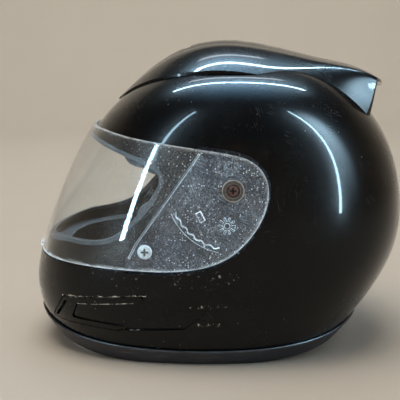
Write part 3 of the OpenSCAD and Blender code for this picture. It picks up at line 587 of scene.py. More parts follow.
# Foam liner and chin bar foam: dark moulded bead foam pressed into the shell, which takes the blow. The beads show as
# small round cells on every moulded face.
LINER_OUT, LINER_IN, LINER_PORT, CHIN_T, SLOT_ROOM, INSERT_ROOM_R, INSERT_ROOM_L = 4.8, 34.8, 4, 19, 2, 6.9, 13
LINER_EDGE = [[8, 44], [400, 108], [400, 400], [-400, 400], [-400, 260], [-150, 216], [-46, 184], [-22, 176],
              [-22, 118], [8, 104]]
CHIN_EDGE = [[-400, 69], [-92, 27], [-92, 94], [-400, 92]]


def pocket_back():
    """Room that pieces inside the shell leave for the back of a pocket."""
    return pocket(POCKET_RIM + SEAT, POCKET_BACK + SEAT, DEEP)


liner = kept_in(made("foam_liner", layer(-LINER_OUT, *COARSE)), through(LINER_EDGE))
carved(liner, layer(-LINER_IN, 160, 64, DEEP), through(grown(port_outline, LINER_PORT)))
both_sides(liner, pocket_back())
carved(liner, both(rod(floor_x - INSERT_ROOM_L, floor_x, INSERT_ROOM_R, PIVOT)))
chin_foam = kept_in(made("chin_foam", layer(-LINER_OUT, *COARSE)), through(CHIN_EDGE))
carved(chin_foam, layer(-LINER_OUT - CHIN_T, *COARSE, DEEP))
both_sides(chin_foam, pocket_back())
carved(chin_foam, both(through(grown(VENT_SLOT, SLOT_ROOM), OFF_MIDDLE)))
foam = Finish("bead_foam", (0.03, 0.03, 0.032), 0.85)
beads = foam.node("TexVoronoi", {"Vector": foam.place, "Scale": 330}, feature="SMOOTH_F1").outputs["Distance"]
foam.show(Base_Color=foam.mixed(foam.ranged(beads, 0.1, 0.7), (0.05, 0.05, 0.053), (0.018, 0.018, 0.02)))
foam.bump(foam.ranged(beads, 0.7, 0.1), 0.6, 0.0008)
for piece, node in ((liner, "eps_liner"), (chin_foam, "chin_eps")):
    fitted(smoothed(piece, 40), foam.material, "foam", node)

# Visor base plates: black moulded plates that lie in the side pockets. Each carries the pivot boss, the scalloped
# ratchet track, a small frame, a rosette and a lip along its front. Years of dust and rubbing have left pale arcs on
# it and pale edges on everything raised.
PLATE_T, PLATE_EDGE, BURIED, SCREW_SEAT, SCREW_HEAD, SCREW_BORE = 2, 0.55, 0.5, 0.4, 12, 5.2
RACK_R, RACK_OUT, RACK_FROM, RACK_TO, RACK_END, TEETH, TOOTH_H, TOOTH_STEPS = 50, 53, 27, 73, 5, 6, 1.6, 16
HUB_R, HUB_T, HUB_SUNK, BORE, BOSS_WALL, BOSS_EDGE = 10.2, 3.0, 0.6, 14.4, 1.5, 0.4
FRAME_AT, FRAME_TURN, FRAME_HOLE, FRAME_H = PIVOT + [-25.5, -23], 28, 0.55, 1.2
FRAME = [[-2.6, -4.4], [2.6, -4.4], [2.6, 4.4], [-2.6, 4.4]]
ROSETTE_AT, ROSETTE_R, ROSETTE_H, PETALS = PIVOT + [-4, -30], 2.6, 0.7, 10
PETAL = np.array([[3.5, -0.75], [6.6, -1.0], [7.4, 0], [6.6, 1.0], [3.5, 0.75]])
LIP_LINE, LIP_RISE = np.array([[-18, 183], [-70.4, 108], [-76.4, 96]]), 0.6
boss_r = HUB_R + BOSS_WALL
hub_out = side_x(PIVOT, visor_level) - HUB_SUNK
hub_in = hub_out - HUB_T


def redone(material, *names):
    """Gives CAD nodes whose shape is right a finish of their own."""
    for name in names:
        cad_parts[name].material_slots[0].material = material


def raised(outline, low, high, edge=PLATE_EDGE):
    """Slab of an outline of the side view with its upper edge cut at a slant."""
    ring = ordered(outline)
    levels = ((low, ring), (high - edge, ring), (high, grown(ring, -edge)))
    return swept([[(x, y, z) for y, z in line] for x, line in levels])


def paired(left, material, slot, node):
    """Fits a left piece and its mirror image in place of the nodes of both sides."""
    right = flipped(left, left.name.replace("_left", "_right"))
    return [fitted(piece, material, slot, node + side) for piece, side in ((left, "_left"), (right, "_right"))]


steps = TEETH * TOOTH_STEPS
rack_turn = np.radians(180 + np.linspace(RACK_FROM - RACK_END, RACK_TO + RACK_END, steps + 1))
rack_way = np.stack([np.cos(rack_turn), np.sin(rack_turn)], 1)
tooth = RACK_R - TOOTH_H * (0.5 + 0.5 * np.cos(np.arange(steps + 1) * 2 * math.pi / TOOTH_STEPS))
rack_top = side_x(PIVOT + RACK_OUT * rack_way[0], visor_inside) - VISOR_GAP
rack_low, rack_step = floor_x - DEEP / 4, rack_top - PLATE_EDGE
track = []
for inner, way in zip(tooth, rack_way):
    section = ((rack_low, RACK_OUT), (rack_step, RACK_OUT), (rack_top, RACK_OUT - PLATE_EDGE),
               (rack_top, inner + 1.2 * PLATE_EDGE), (rack_step, inner), (rack_low, inner))
    track.append([(x, *(PIVOT + r * way)) for x, r in section])
boss_top = min([hub_in] + [side_x(p, visor_inside) for p in circle(boss_r, PIVOT, 8)]) - SEAT
plate = pocket(-SEAT, 0, PLATE_T)
plate.name = "visor_plate_left"
for form in (raised(circle(boss_r, PIVOT, 72), rack_low, boss_top, BOSS_EDGE), swept(track)):
    added(plate, kept_in(form, on_floor(block((SEAT, -FAR, -FAR), (DEEP, FAR, FAR)))))
frame_line = turned(FRAME, FRAME_TURN)
details = [raised(FRAME_AT + frame_line, BURIED, PLATE_T + FRAME_H, 0.8),
           raised(circle(ROSETTE_R, ROSETTE_AT, 24), BURIED, PLATE_T + ROSETTE_H),
           raised(np.concatenate([LIP_LINE, (LIP_LINE + [1.7, -0.6])[::-1]]), BURIED, PLATE_T + LIP_RISE, 0.5),
           prism(circle(SCREW_HEAD / 2 + 2.5, PLATE_SCREW, 40), BURIED, PLATE_T + SCREW_SEAT)]
for k in range(PETALS):
    petal = turned(PETAL + ROSETTE_AT, k * 360 / PETALS, ROSETTE_AT)
    details.append(raised(petal, BURIED, PLATE_T + ROSETTE_H, 0.35))
added(plate, *[on_floor(form) for form in details])
carved(plate, on_floor(prism(FRAME_AT + frame_line * FRAME_HOLE, PLATE_T, DEEP)),
       rod(floor_x - DEEP, floor_x + DEEP, SCREW_BORE / 2, PIVOT),
       on_floor(rod(-DEEP, DEEP, SCREW_BORE / 2, PLATE_SCREW)),
       on_floor(rod(PLATE_T + SCREW_SEAT, DEEP, SCREW_HEAD / 2 + 3, PLATE_SCREW)))
smoothed(plate, 25)


def of_faces(piece, what):
    """One vector for every face of a piece: its normal, or its centre in metres."""
    found = np.zeros(len(piece.data.polygons) * 3, np.float32)
    piece.data.polygons.foreach_get(what, found)
    return found.reshape(-1, 3).astype(float)


lean = math.radians(POCKET_TILT)
slant = of_faces(plate, "normal") @ [math.cos(lean), -math.sin(lean), 0]
off_boss = np.linalg.norm(of_faces(plate, "center")[:, 1:] / MM - PIVOT, axis=1) > boss_r + 1
marked(plate, "rub", (slant > 0.3) & (slant < 0.93) & off_boss, "FACE")


def from_pivot(finish):
    """Distance from the visor's pivot line, in metres."""
    away = finish.vector("SUBTRACT", finish.place, (0, *(PIVOT * MM)))
    return finish.node("VectorMath", {0: finish.vector("MULTIPLY", away, (0, 1, 1))},
                       operation="LENGTH").outputs["Value"]


def arcs(finish, fine, low, high):
    """Rubbed arcs about the pivot, broken up into patches."""
    ring = finish.node("CombineXYZ", {0: from_pivot(finish)}).outputs[0]
    return finish.times(finish.patches(low, high, fine, 2, place=ring), finish.patches(0.46, 0.62, 45))


matt = Finish("plate_plastic", (0.02, 0.02, 0.022), 0.4, Specular_IOR_Level=DULL)
rubbed = matt.most(arcs(matt, 1500, 0.56, 0.68), matt.scratches(3))
dusty = matt.patches(0.48, 0.72, 110, 5, 0.75)
colour = matt.mixed(dusty, (0.011, 0.011, 0.016), (0.26, 0.27, 0.3), 0.12)
colour = matt.mixed(rubbed, colour, (0.55, 0.56, 0.58), 0.4)
colour = matt.mixed(matt.patches(0.56, 0.64, 480, 3, 0.8), colour, (0.4, 0.43, 0.48), 0.34)
colour = matt.mixed(matt.specks(150, 0.16, 0.3), colour, (0.5, 0.5, 0.5))
edges = matt.times(matt.attribute("rub"), matt.patches(0.3, 0.55, 260, bottom=0.35))
matt.show(Base_Color=matt.mixed(edges, colour, (0.78, 0.78, 0.76)), Roughness=matt.ranged(dusty, 0, 1, 0.35, 0.7))
matt.bump(matt.noise(900), 0.1, 0.0003)
paired(plate, matt.material, "plate_plastic", "base_plate")

# Screws, bushes and inserts: pale cross-head screws at the plates' front corners, rusty screws sunk in grey bushes at
# the pivots, and brass inserts behind the pockets that they go into.
BUSH_WEB, HEAD_H, THREAD_END, SHANK_R, RECESS_DEPTH = 2, 2.2, 10.7, 2.5, 1.5
STAIN = (0.38, 0.68, 420, 5, 0.7)


def metal(name, bright, dark, roughness, metallic, shaded_recess=False):
    """Stained metal, with the faces marked as a recess painted near black, as painted shade, if there are any."""
    steel = Finish(name, bright, roughness, Metallic=metallic)
    stain = steel.patches(*STAIN)
    colour = steel.mixed(stain, bright, dark)
    if shaded_recess:
        # The marked cross recess is painted near black: painted shade in the recess.
        colour = steel.mixed(steel.attribute("recess_shade"), colour, (0.02, 0.017, 0.014), 0.92)
    steel.show(Base_Color=colour, Roughness=steel.ranged(stain, 0, 1, roughness, min(roughness + 0.3, 1)))
    steel.bump(steel.noise(840, 4, 0.7), 0.25, 0.0002)
    return steel.material


def cross_screw(name, head_r, head_at, shank_to, slot_w, seat_on):
    """Screw along x with a flat, round-edged head and a cross recess, carried to its seat; its recess is marked for
    painted shade.
    """
    top, arm = head_at + HEAD_H, head_r * 0.54
    profile = [(shank_to, SHANK_R - 0.6), (shank_to + 0.6, SHANK_R), (head_at, SHANK_R), (head_at, head_r - 0.3),
               (head_at + 0.3, head_r), (top - 0.9, head_r), (top - 0.3, head_r - 0.5), (top - 0.05, head_r - 1.4),
               (top, head_r - 2.6)]
    screw = made(name, swept([[(x, y, z) for y, z in circle(r, steps=48)] for x, r in profile]))
    for wide, tall in ((arm, slot_w / 2), (slot_w / 2, arm)):
        carved(screw, block((top - RECESS_DEPTH, -wide, -tall), (top + 1, wide, tall)))
    middles = of_faces(smoothed(screw, 35), "center") / MM
    # Faces inside the cross recess, to be painted near black as painted shade.
    sunk = (middles[:, 0] < top - 0.3) & (middles[:, 0] > top - RECESS_DEPTH - 0.1)
    marked(screw, "recess_shade", sunk & (np.hypot(middles[:, 1], middles[:, 2]) < arm + 0.2), "FACE")
    moved(screw, seat_on((places(screw), None))[0])
    return screw


def at_pivot(form):
    return form[0] + [0, *PIVOT], form[1]


def at_plate_corner(form):
    return on_floor((form[0] + [0, *PLATE_SCREW], form[1]))


rusty = metal("rusty_steel", (0.2, 0.08, 0.045), (0.06, 0.022, 0.014), 0.75, 0.15, True)
zinc = metal("zinc_steel", (0.5, 0.47, 0.44), (0.34, 0.31, 0.28), 0.5, 0.35, True)
hinge_screw = cross_screw("hinge_screw_left", BORE / 2 - 2.2, boss_top + BUSH_WEB, floor_x - THREAD_END, 1.5, at_pivot)
paired(hinge_screw, rusty, "screw_rust", "pivot_screw")
corner_screw = cross_screw("corner_screw_left", SCREW_HEAD / 2, PLATE_T + SCREW_SEAT, -THREAD_END, 1.7, at_plate_corner)
paired(corner_screw, zinc, "screw_pale", "plate_screw")
bush = Finish("bush_grey", (0.1, 0.1, 0.1), 0.5)
away, stain = from_pivot(bush), bush.patches(*STAIN)
rims = bush.most(bush.ranged(away, 0.0079, 0.0083), bush.ranged(away, 0.0062, 0.0058, 0, 0.35))
rims = bush.times(rims, bush.ranged(stain, 0, 1, 1, 0.5))
colour = bush.mixed(stain, (0.12, 0.11, 0.105), (0.05, 0.042, 0.038))
bush.show(Base_Color=bush.mixed(rims, colour, (0.62, 0.6, 0.57)))
bush.bump(bush.noise(840, 4, 0.7), 0.25, 0.0002)
redone(bush.material, "pivot_bush_left", "pivot_bush_right")
redone(metal("insert_brass", (0.6, 0.42, 0.16), (0.32, 0.2, 0.08), 0.4, 0.9), "threaded_inserts")

# Visor: a clear moulded shield with thicker hubs on the pivots, ratchet pins inside and a finger lip at its lower
# edge. It is scratched and hazed, most of all over the base plates, and its edges are rubbed pale.
LIP_W, LIP_OUT, LIP_H, LIP_BACK, PALE_EDGE, FINE = 34, 2.0, 3, -100, 1.6, (360, 130)
PIN_R, PIN_D, PIN_CLEAR = 46.6, 3, 0.9
pin_turn, tilt = math.radians(RACK_TO), math.tan(math.radians(POCKET_TILT))
pin_at = PIVOT - PIN_R * np.array([math.cos(pin_turn), math.sin(pin_turn)])
pin_tip = floor_x + PLATE_T - tilt * PIN_R * math.cos(pin_turn) + PIN_CLEAR
visor = kept_in(made("visor_shield", layer(visor_level, *FINE)), through(visor_outline))
carved(visor, layer(visor_inside, *FINE, DEEP), both(rod(hub_out, hub_out + DEEP, HUB_R + 0.5, PIVOT, 64)))
added(visor, both(rod(hub_in, hub_out, HUB_R, PIVOT, 64)), both(rod(pin_tip, hub_in + 1, PIN_D / 2, pin_at, 24)))
lip = kept_in(layer(lambda p: visor_level(p) + LIP_OUT, *FINE),
              block((-LIP_W / 2, -FAR, VISOR_LOW), (LIP_W / 2, LIP_BACK, VISOR_LOW + LIP_H)))
added(visor, carved(lip, layer(lambda p: visor_inside(p) + 0.4, *FINE, DEEP)))
carved(visor, both(rod(hub_in - 1, hub_out + DEEP, BORE / 2, PIVOT, 64)))
smoothed(visor, 30)
edge_line = np.concatenate([[[-200, VISOR_TOP + 2]], BROW, ear_line, [[-200, VISOR_LOW]]])
marked(visor, "edge", np.clip(1 - beside(places(visor)[:, 1:], edge_line)[0] / PALE_EDGE, 0, 1))
clear = Finish("visor_clear", (0.93, 0.95, 0.96), 0.03, IOR=1.42)
ear = clear.ranged(clear.node("SeparateXYZ", {0: clear.place}).outputs["Y"], -0.1, -0.02, 0.12, 1.0)
haze = clear.times(ear, clear.patches(0.3, 0.75, 28, 5, 0.7))
lines = clear.times(clear.most(clear.scratches(5, 0.52), arcs(clear, 1700, 0.6, 0.7)), ear)
grit = clear.times(clear.patches(0.58, 0.64, 520, 3, 0.75), clear.patches(0.42, 0.6, 40), clear.ranged(ear, 0.4, 1))
dust = clear.most(clear.specks(170, 0.12, 0.18), clear.specks(460, 0.27, 0.34))
dust = clear.most(clear.times(dust, clear.ranged(ear, 0, 1, 0.05, 1)), clear.times(grit, 0.55))
rub = clear.times(clear.attribute("edge"), clear.patches(0.3, 0.6, 120, bottom=0.35))
marks = ((haze, 0.024), (lines, 0.26), (dust, 0.7), (rub, 0.5))
clouded = clear.most(*[clear.times(mark, share) for mark, share in marks])
clear.show(Transmission_Weight=clear.ranged(clouded, 0, 1, 1, 0), Roughness=clear.ranged(clouded, 0, 1, 0.02, 0.5))
visor.visible_shadow = False
fitted(visor, clear.material, "visor_clear", "visor", body="visor")

# Crown fairing: a hollow glossy moulding glued to the crown, flat-decked with a ridge along each side, open at its
# rear lip and drawn down into two wings. A slot in its deck lets air in. Each row of its table is a station along y:
# half width, half width of the deck, rise over the shell, droop of the deck and fall of the sides.
FAIRING = [[-91, 6, 3, 2.5, 0.2, 1], [-76, 30, 10, 3, 0.6, 2], [-44, 58, 17, 14, 3, 11], [10, 69, 21, 19, 4, 12],
           [70, 67, 27, 8, 4, 22], [112, 77, 36, 15, 4, 42], [152, 57, 48, 44, 4, 36]]
FAIRING_WALL, FAIRING_EDGE, FAIRING_SKIRT, SIDE_BOW, TAIL, TAIL_R, HOLLOW_FROM = 2.8, 2.6, 24, 1.5, 148, 90, 0.24
DECK_STEPS, SIDE_STEPS, STATIONS, RAIL_W, RAIL_DEPTH = 8, 14, 110, 14, 3
SLOT_W, SLOT_FRONT, SLOT_REAR, BUTTON = 14, -16, 12, 14
SLIDER_T, SLIDER_L, SLIDER_Y, SLIDER_W, SLIDER_SUNK, SLIDE = 1.8, 46, -2, 11, 5.5, 12
front_run, rear_run = spline(FRONT, np.linspace(0.25, 1, 900)), spline(REAR, np.linspace(0.45, 1, 900))[::-1]


def mid_height(y):
    """Height of the shell in the middle plane."""
    run = front_run if y < CROWN[1] else rear_run
    return float(np.interp(y, run[:, 0], run[:, 1]))


def fairing_form(inset, start=0):
    """The fairing's outside, or its hollow set in by a wall, from a share of its length on."""
    sections = []
    for y, wide, flat, rise, drop, fall in spline(FAIRING, np.linspace(start, 1, STATIONS)):
        mid = mid_height(y)
        deck, edge = mid + rise - inset, (max(wide - inset, 1), mid - fall + FAIRING_EDGE - inset)
        flat = max(flat - 0.4 * inset, 0.6)
        half = [(flat * q, deck - drop * q ** 2) for q in np.arange(DECK_STEPS + 1) / DECK_STEPS]
        half += [(flat + (edge[0] - flat) * q, deck - drop + (edge[1] - deck + drop) * q ** SIDE_BOW)
                 for q in np.arange(1, SIDE_STEPS + 1) / SIDE_STEPS]
        half.append((edge[0], edge[1] - FAIRING_SKIRT))
        sections.append([(x, y, z) for x, z in half[::-1]] + [(-x, y, z) for x, z in half[1:]])
    return swept(sections)


slider_top = mid_height(0) + float(spline(FAIRING, 0.48)[3]) - SLIDER_SUNK
slider_low = slider_top - SLIDER_T
fairing = carved(made("crown_fairing", fairing_form(0)), fairing_form(FAIRING_WALL, HOLLOW_FROM))
added(fairing, kept_in(fairing_form(0.8), block((-RAIL_W, SLIDER_Y - SLIDER_L, slider_low - RAIL_DEPTH),
                                                (RAIL_W, SLIDER_Y + SLIDER_L, slider_top + DEEP))))
tail_turn = np.linspace(0, math.pi, 73)
plan = np.concatenate([[[-FAR, TAIL - TAIL_R], [-FAR, -FAR], [FAR, -FAR], [FAR, TAIL - TAIL_R]],
                       np.stack([TAIL_R * np.cos(tail_turn), TAIL - TAIL_R + TAIL_R * np.sin(tail_turn)], 1)])
kept_in(fairing, prism(plan, 0, FAR, "z"))
carved(fairing, layer(SEAT),
       block((-SLOT_W / 2, SLOT_FRONT, slider_top - 1), (SLOT_W / 2, SLOT_REAR, slider_top + DEEP)),
       block((-SLIDER_W - SEAT, SLIDER_Y - SLIDER_L / 2 - SLIDE - SEAT, slider_low - SEAT),
             (SLIDER_W + SEAT, SLIDER_Y + SLIDER_L / 2 + SEAT, slider_top + SEAT)),
       block((-SLOT_W / 3, SLOT_FRONT, slider_top - DEEP), (SLOT_W / 3, SLOT_REAR - BUTTON, slider_top)))
fitted(smoothed(fairing, 30), gloss_black("fairing_gloss_black", False), "shell_gloss", "top_fairing")

# Crown vent slider: a matt black moulding with a ribbed button, caught in rails under the fairing's deck. Its CAD
# shape is right, and fingers have worn its button pale.
slider = Finish("slider_plastic", (0.012, 0.012, 0.013), 0.5, Specular_IOR_Level=DULL)
rubbed = slider.patches(0.52, 0.75, 260, 4, 0.7)
slider.show(Base_Color=slider.mixed(rubbed, (0.01, 0.01, 0.011), (0.09, 0.088, 0.085)),
            Roughness=slider.ranged(rubbed, 0, 1, 0.42, 0.7))
slider.bump(slider.noise(1500, 2), 0.2, 0.0002)
redone(slider.material, "top_vent_slider")

# Chin vent covers: two glossy covers clipped into recesses of the chin bar, each with a sunk panel and an air slot at
# its front. Their upper edges and the upper edge of the sunk panel carry a painted highlight, pale lines for the long
# bright reflections there, and the edge round the air slot is worn pale.
VENT_GAP, VENT_PROUD, DISH_DEPTH = 0.9, 0.3, 1
# The cover's upper edge and its panel's upper edge: painted highlight for their bright reflections; the slot's edge:
# wear.
COVER_WEAR_AND_GLINTS = ((VENT[:2], 1, 3.5), (VENT_DISH[:2], 1, 2), (VENT_SLOT + VENT_SLOT[:1], 0.8, 1.7))
cover = kept_in(made("chin_vent_cover_left", layer(VENT_PROUD)),
                through(rounded(grown(VENT, -VENT_GAP), VENT_CORNER), OFF_MIDDLE))
carved(cover, layer(SEAT - VENT_T, drop=DEEP), through(VENT_SLOT, OFF_MIDDLE),
       carved(through(rounded(VENT_DISH, VENT_CORNER), OFF_MIDDLE), layer(-DISH_DEPTH)))
side = places(smoothed(cover, 30))[:, 1:]
wear_and_glint = [most - beside(side, line)[0] / reach for line, most, reach in COVER_WEAR_AND_GLINTS]
marked(cover, "wear_and_glint", np.clip(np.max(wear_and_glint, axis=0), 0, 1))
paired(cover, gloss_black("vent_gloss_black", True), "vent_gloss", "chin_vent")

# Crown pad: a comfort liner of knitted cloth over soft foam, pressed into the crown of the foam liner. It is quilted
# in squares, so it swells between its sewn channels. The cover is blown up as cloth with its back held.
CROWN_BACK, CROWN_FACE, QUILT, QUILT_W, QUILT_SUNK, STITCH_GRID = 35.1, 42.6, 56, 4, 3.2, 3.0
CROWN_EDGE = [[-94, 168], [-30, 152], [60, 120], [400, 110], [400, 400], [-94, 400]]
HEAD, HEAD_Z, FILL, SIM_FRAMES = np.array([0, 12, 118]), 100, 0.6, 20


def near(points, form, within):
    """Which points lie within a distance of a form."""
    skin_tree = BVHTree.FromPolygons(form[0].tolist(), form[1])
    return np.array([skin_tree.find_nearest(p, within)[0] is not None for p in points.tolist()])


def puffed(piece, cell, pressure, most, back=None, within=0):
    """Blows a sewn cover up as cloth: points near its back form stay, and none moves further than the most."""
    cells = piece.modifiers.new("cells", "REMESH")
    cells.mode, cells.voxel_size = "VOXEL", cell * MM
    rim = piece.modifiers.new("rim", "SMOOTH")
    rim.factor, rim.iterations = 0.5, 5
    start = places(settled(piece))
    held = piece.vertex_groups.new(name="held")
    if back:
        held.add(np.nonzero(near(start, back, within))[0].tolist(), 1.0, "REPLACE")
    cloth = piece.modifiers.new("puff", "CLOTH").settings
    cloth.use_pressure, cloth.uniform_pressure_force = True, pressure
    cloth.effector_weights.gravity = 0
    cloth.vertex_group_mass = "held"
    for moment in range(1, SIM_FRAMES + 1):
        bpy.context.scene.frame_set(moment)
    settled(piece)
    bpy.context.scene.frame_set(1)
    piece.vertex_groups.clear()
    move = places(piece) - start
    far = np.linalg.norm(move, axis=1, keepdims=True)
    moved(piece, start + move * np.minimum(1, most / np.maximum(far, 1e-6)))
    fine = piece.modifiers.new("fine", "SUBSURF")
    fine.levels = fine.render_levels = 1
    settled(piece).data.shade_smooth()
    return piece


def sewn_in(distance, width):
    return np.exp(-(distance / width) ** 2)


def knit(name, dark, light, scale):
    """Knitted mesh cloth: small round holes in rows, a soft sheen, and lint."""
    cloth = Finish(name, dark, 0.92, Sheen_Weight=0.35, Sheen_Roughness=0.5)
    cells = {"Vector": cloth.place, "Scale": scale, "Randomness": 0.25}
    threads = cloth.ranged(cloth.node("TexVoronoi", cells).outputs["Distance"], 0.22, 0.5)
    lint = cloth.patches(0.5, 0.78, 120, 5, 0.75)
    colour = cloth.mixed(threads, dark, light)
    cloth.show(Base_Color=cloth.mixed(lint, colour, (0.2, 0.19, 0.18), 0.25),
               Roughness=cloth.ranged(lint, 0, 1, 0.82, 0.96))
    cloth.bump(threads, 0.5, 0.0006)
    return cloth.material


def thread_rows():
    """Node tree that sews: a small rounded stitch at every step along the rows of a mesh's edges."""
    tree = bpy.data.node_groups.new("thread_rows", "GeometryNodeTree")
    for way in ("INPUT", "OUTPUT"):
        tree.interface.new_socket("Geometry", in_out=way, socket_type="NodeSocketGeometry")
    for socket, value in (("Step", 0.003), ("Stitch Length", 0.0022), ("Thread Radius", 0.0004)):
        tree.interface.new_socket(socket, in_out="INPUT", socket_type="NodeSocketFloat").default_value = value
    tree.interface.new_socket("Thread", in_out="INPUT", socket_type="NodeSocketMaterial")
    given = tree.nodes.new("NodeGroupInput").outputs

    def step(kind, inputs=None, **settings):
        return add(tree, kind, inputs, **settings).outputs[0]

    rows = step("GeometryNodeMeshToCurve", {"Mesh": given["Geometry"]})
    rows = step("GeometryNodeResampleCurve", {"Curve": rows, "Length": given["Step"]}, mode="LENGTH")
    stitch = step("GeometryNodeMeshUVSphere", {"Segments": 8, "Rings": 5, "Radius": 1.0})
    stitch = step("GeometryNodeSetShadeSmooth", {"Geometry": stitch})
    turn = step("FunctionNodeAlignRotationToVector", {"Vector": step("GeometryNodeInputTangent")}, axis="X")
    half = step("ShaderNodeMath", {0: given["Stitch Length"], 1: 0.5}, operation="MULTIPLY")
    size = step("ShaderNodeCombineXYZ", {0: half, 1: given["Thread Radius"], 2: given["Thread Radius"]})
    laid = step("GeometryNodeInstanceOnPoints", {"Points": rows, "Instance": stitch, "Rotation": turn, "Scale": size})
    laid = step("GeometryNodeRealizeInstances", {"Geometry": laid})
    laid = step("GeometryNodeSetMaterial", {"Geometry": laid, "Material": given["Thread"]})
    tree.links.new(laid, tree.nodes.new("NodeGroupOutput").inputs[0])
    return tree


def stitched(name, rows, slot, step=0.0036, length=0.0026):
    """Sews rows of points, given in millimetres, and seats the stitches on the helmet."""
    points, edges = [], []
    for row in rows:
        edges += [(len(points) + i, len(points) + i + 1) for i in range(len(row) - 1)]
        points += [tuple(np.asarray(p, float) * MM) for p in row]
    mesh = bpy.data.meshes.new(name)
    mesh.from_pydata(points, edges, [])
    seam = bpy.data.objects.new(name, mesh)
    bpy.context.scene.collection.objects.link(seam)
    sewing = seam.modifiers.new("sewing", "NODES")
    sewing.node_group = sewing_tree
    given = {"Step": step, "Stitch Length": length, "Thread": thread.material}
    for item in sewing_tree.interface.items_tree:
        if item.in_out == "INPUT" and item.name in given:
            sewing[item.identifier] = given[item.name]
    return fitted(settled(seam), None, slot)


def on_cover(piece, origins, way, lift=0.1):
    """Where rays along one way meet a cover, lifted off it a little towards where they come from; gaps split rows."""
    cover_tree = BVHTree.FromPolygons(places(piece).tolist(), [tuple(f.vertices) for f in piece.data.polygons])
    rows = [[]]
    for origin in origins:
        hit = cover_tree.ray_cast(Vector(origin), Vector(way))[0]
        if hit is None:
            rows.append([])
        else:
            rows[-1].append(np.array(hit) - lift * np.array(way))
    return [row for row in rows if len(row) > 1]


crown_back = layer(-CROWN_BACK, 120, 50)
crown_pad = kept_in(made("crown_padding", crown_back), through(CROWN_EDGE))
carved(crown_pad, layer(-CROWN_FACE, 120, 50, DEEP))
points = places(puffed(crown_pad, 5, 4, 5, crown_back, 2.5))
squares = (points[:, :2] + [0, QUILT / 2]) / QUILT
from_seam = QUILT * np.min(np.abs(squares - np.round(squares)), axis=1)
sunk = QUILT_SUNK * sewn_in(from_seam, QUILT_W) * ~near(points, crown_back, 3.5)
moved(crown_pad, points + sunk[:, None] * unit(points - HEAD))
lining = knit("knitted_lining", (0.012, 0.012, 0.014), (0.055, 0.055, 0.06), 620)
sewing_tree = thread_rows()
thread = Finish("sewing_thread", (0.16, 0.16, 0.165), 0.7)
thread.show(Base_Color=thread.mixed(thread.patches(0.35, 0.7, 1500), (0.1, 0.1, 0.105), (0.24, 0.235, 0.23)))
rows = []
for y in (-1.5 * QUILT, -0.5 * QUILT, 0.5 * QUILT, 1.5 * QUILT):
    rows += on_cover(crown_pad, [(x, y, HEAD_Z) for x in np.arange(-96, 97, STITCH_GRID)], (0, 0, 1))
for x in (-QUILT, 0, QUILT):
    rows += on_cover(crown_pad, [(x, y, HEAD_Z) for y in np.arange(-110, 131, STITCH_GRID)], (0, 0, 1))
fitted(crown_pad, lining, "padding", "crown_pad")
stitched("crown_pad_stitches", rows, "padding")

# Cheek pads: thick foam cushions in knitted covers, snapped in behind the pockets, with a sewn seam a little inside
# their edge. They are blown up as cloth with the side to the shell held, and the right one mirrors the left.
CHEEK_AT, CHEEK_REACH, CHEEK_T, CHEEK_SWELL, CHEEK_R, CHEEK_BACK, CHEEK_HELD = (-56, 66), (30, 44), 16, 20, 16, 5.1, 9
CHEEK = [[-86, 22], [-26, 22], [-26, 110], [-86, 110]]
SEAM_IN, SEAM_W, SEAM_SUNK = 10, 2.8, 2.4


def cheek_level(p):
    a, b = ((p[..., k + 1] - CHEEK_AT[k]) / CHEEK_REACH[k] for k in (0, 1))
    return -LINER_OUT - CHEEK_T - CHEEK_SWELL * np.sqrt(np.maximum(0, 1 - a ** 4 - b ** 4))


cheek_back = layer(-CHEEK_BACK, 160, 64)
cheek_pad = kept_in(made("cheek_cushion_left", cheek_back), through(rounded(grown(CHEEK, -1.5), CHEEK_R), 0))
carved(cheek_pad, layer(cheek_level, 240, 100, DEEP), pocket_back(), on_floor(rod(-16, 4, INSERT_ROOM_R, PLATE_SCREW)))
points = places(puffed(cheek_pad, 4, 4, 4, cheek_back, CHEEK_HELD))
seam_line = rounded(grown(CHEEK, -SEAM_IN), CHEEK_R - 8)
seam_line = np.concatenate([seam_line, seam_line[:1]])
sunk = SEAM_SUNK * sewn_in(beside(points[:, 1:], seam_line)[0], SEAM_W) * ~near(points, cheek_back, CHEEK_HELD)
moved(cheek_pad, points + sunk[:, None] * [1, 0, 0])
walk = np.concatenate([a + np.linspace(0, 1, 12, endpoint=False)[:, None] * (b - a)
                       for a, b in zip(seam_line[:-1], seam_line[1:])])
rows = on_cover(cheek_pad, [(OFF_MIDDLE, y, z) for y, z in walk], (1, 0, 0))
rows += [[p * [-1, 1, 1] for p in row] for row in rows]
for piece in paired(cheek_pad, lining, "padding", "cheek_pad"):
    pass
stitched("cheek_pad_stitches", rows, "padding")

# Neck roll: a stuffed tube of the same cloth along the nape, closed at both ends and gathered at sewn rings. It is
# blown up as cloth like the other pads.
ROLL_FROM, ROLL_TO, ROLL_STEPS, ROLL_T, ROLL_H, ROLL_SAG, ROLL_FULL = 106, 254, 60, 23, 18, 1.4, 0.86
GATHERS, GATHER_W, GATHERED = (118, 139, 160, 180, 200, 221, 242), 3.2, 0.16


def lengths(run):
    """Length along a bent line at each of its points."""
    return np.concatenate([[0], np.cumsum(np.linalg.norm(np.diff(run, axis=0), axis=1))])


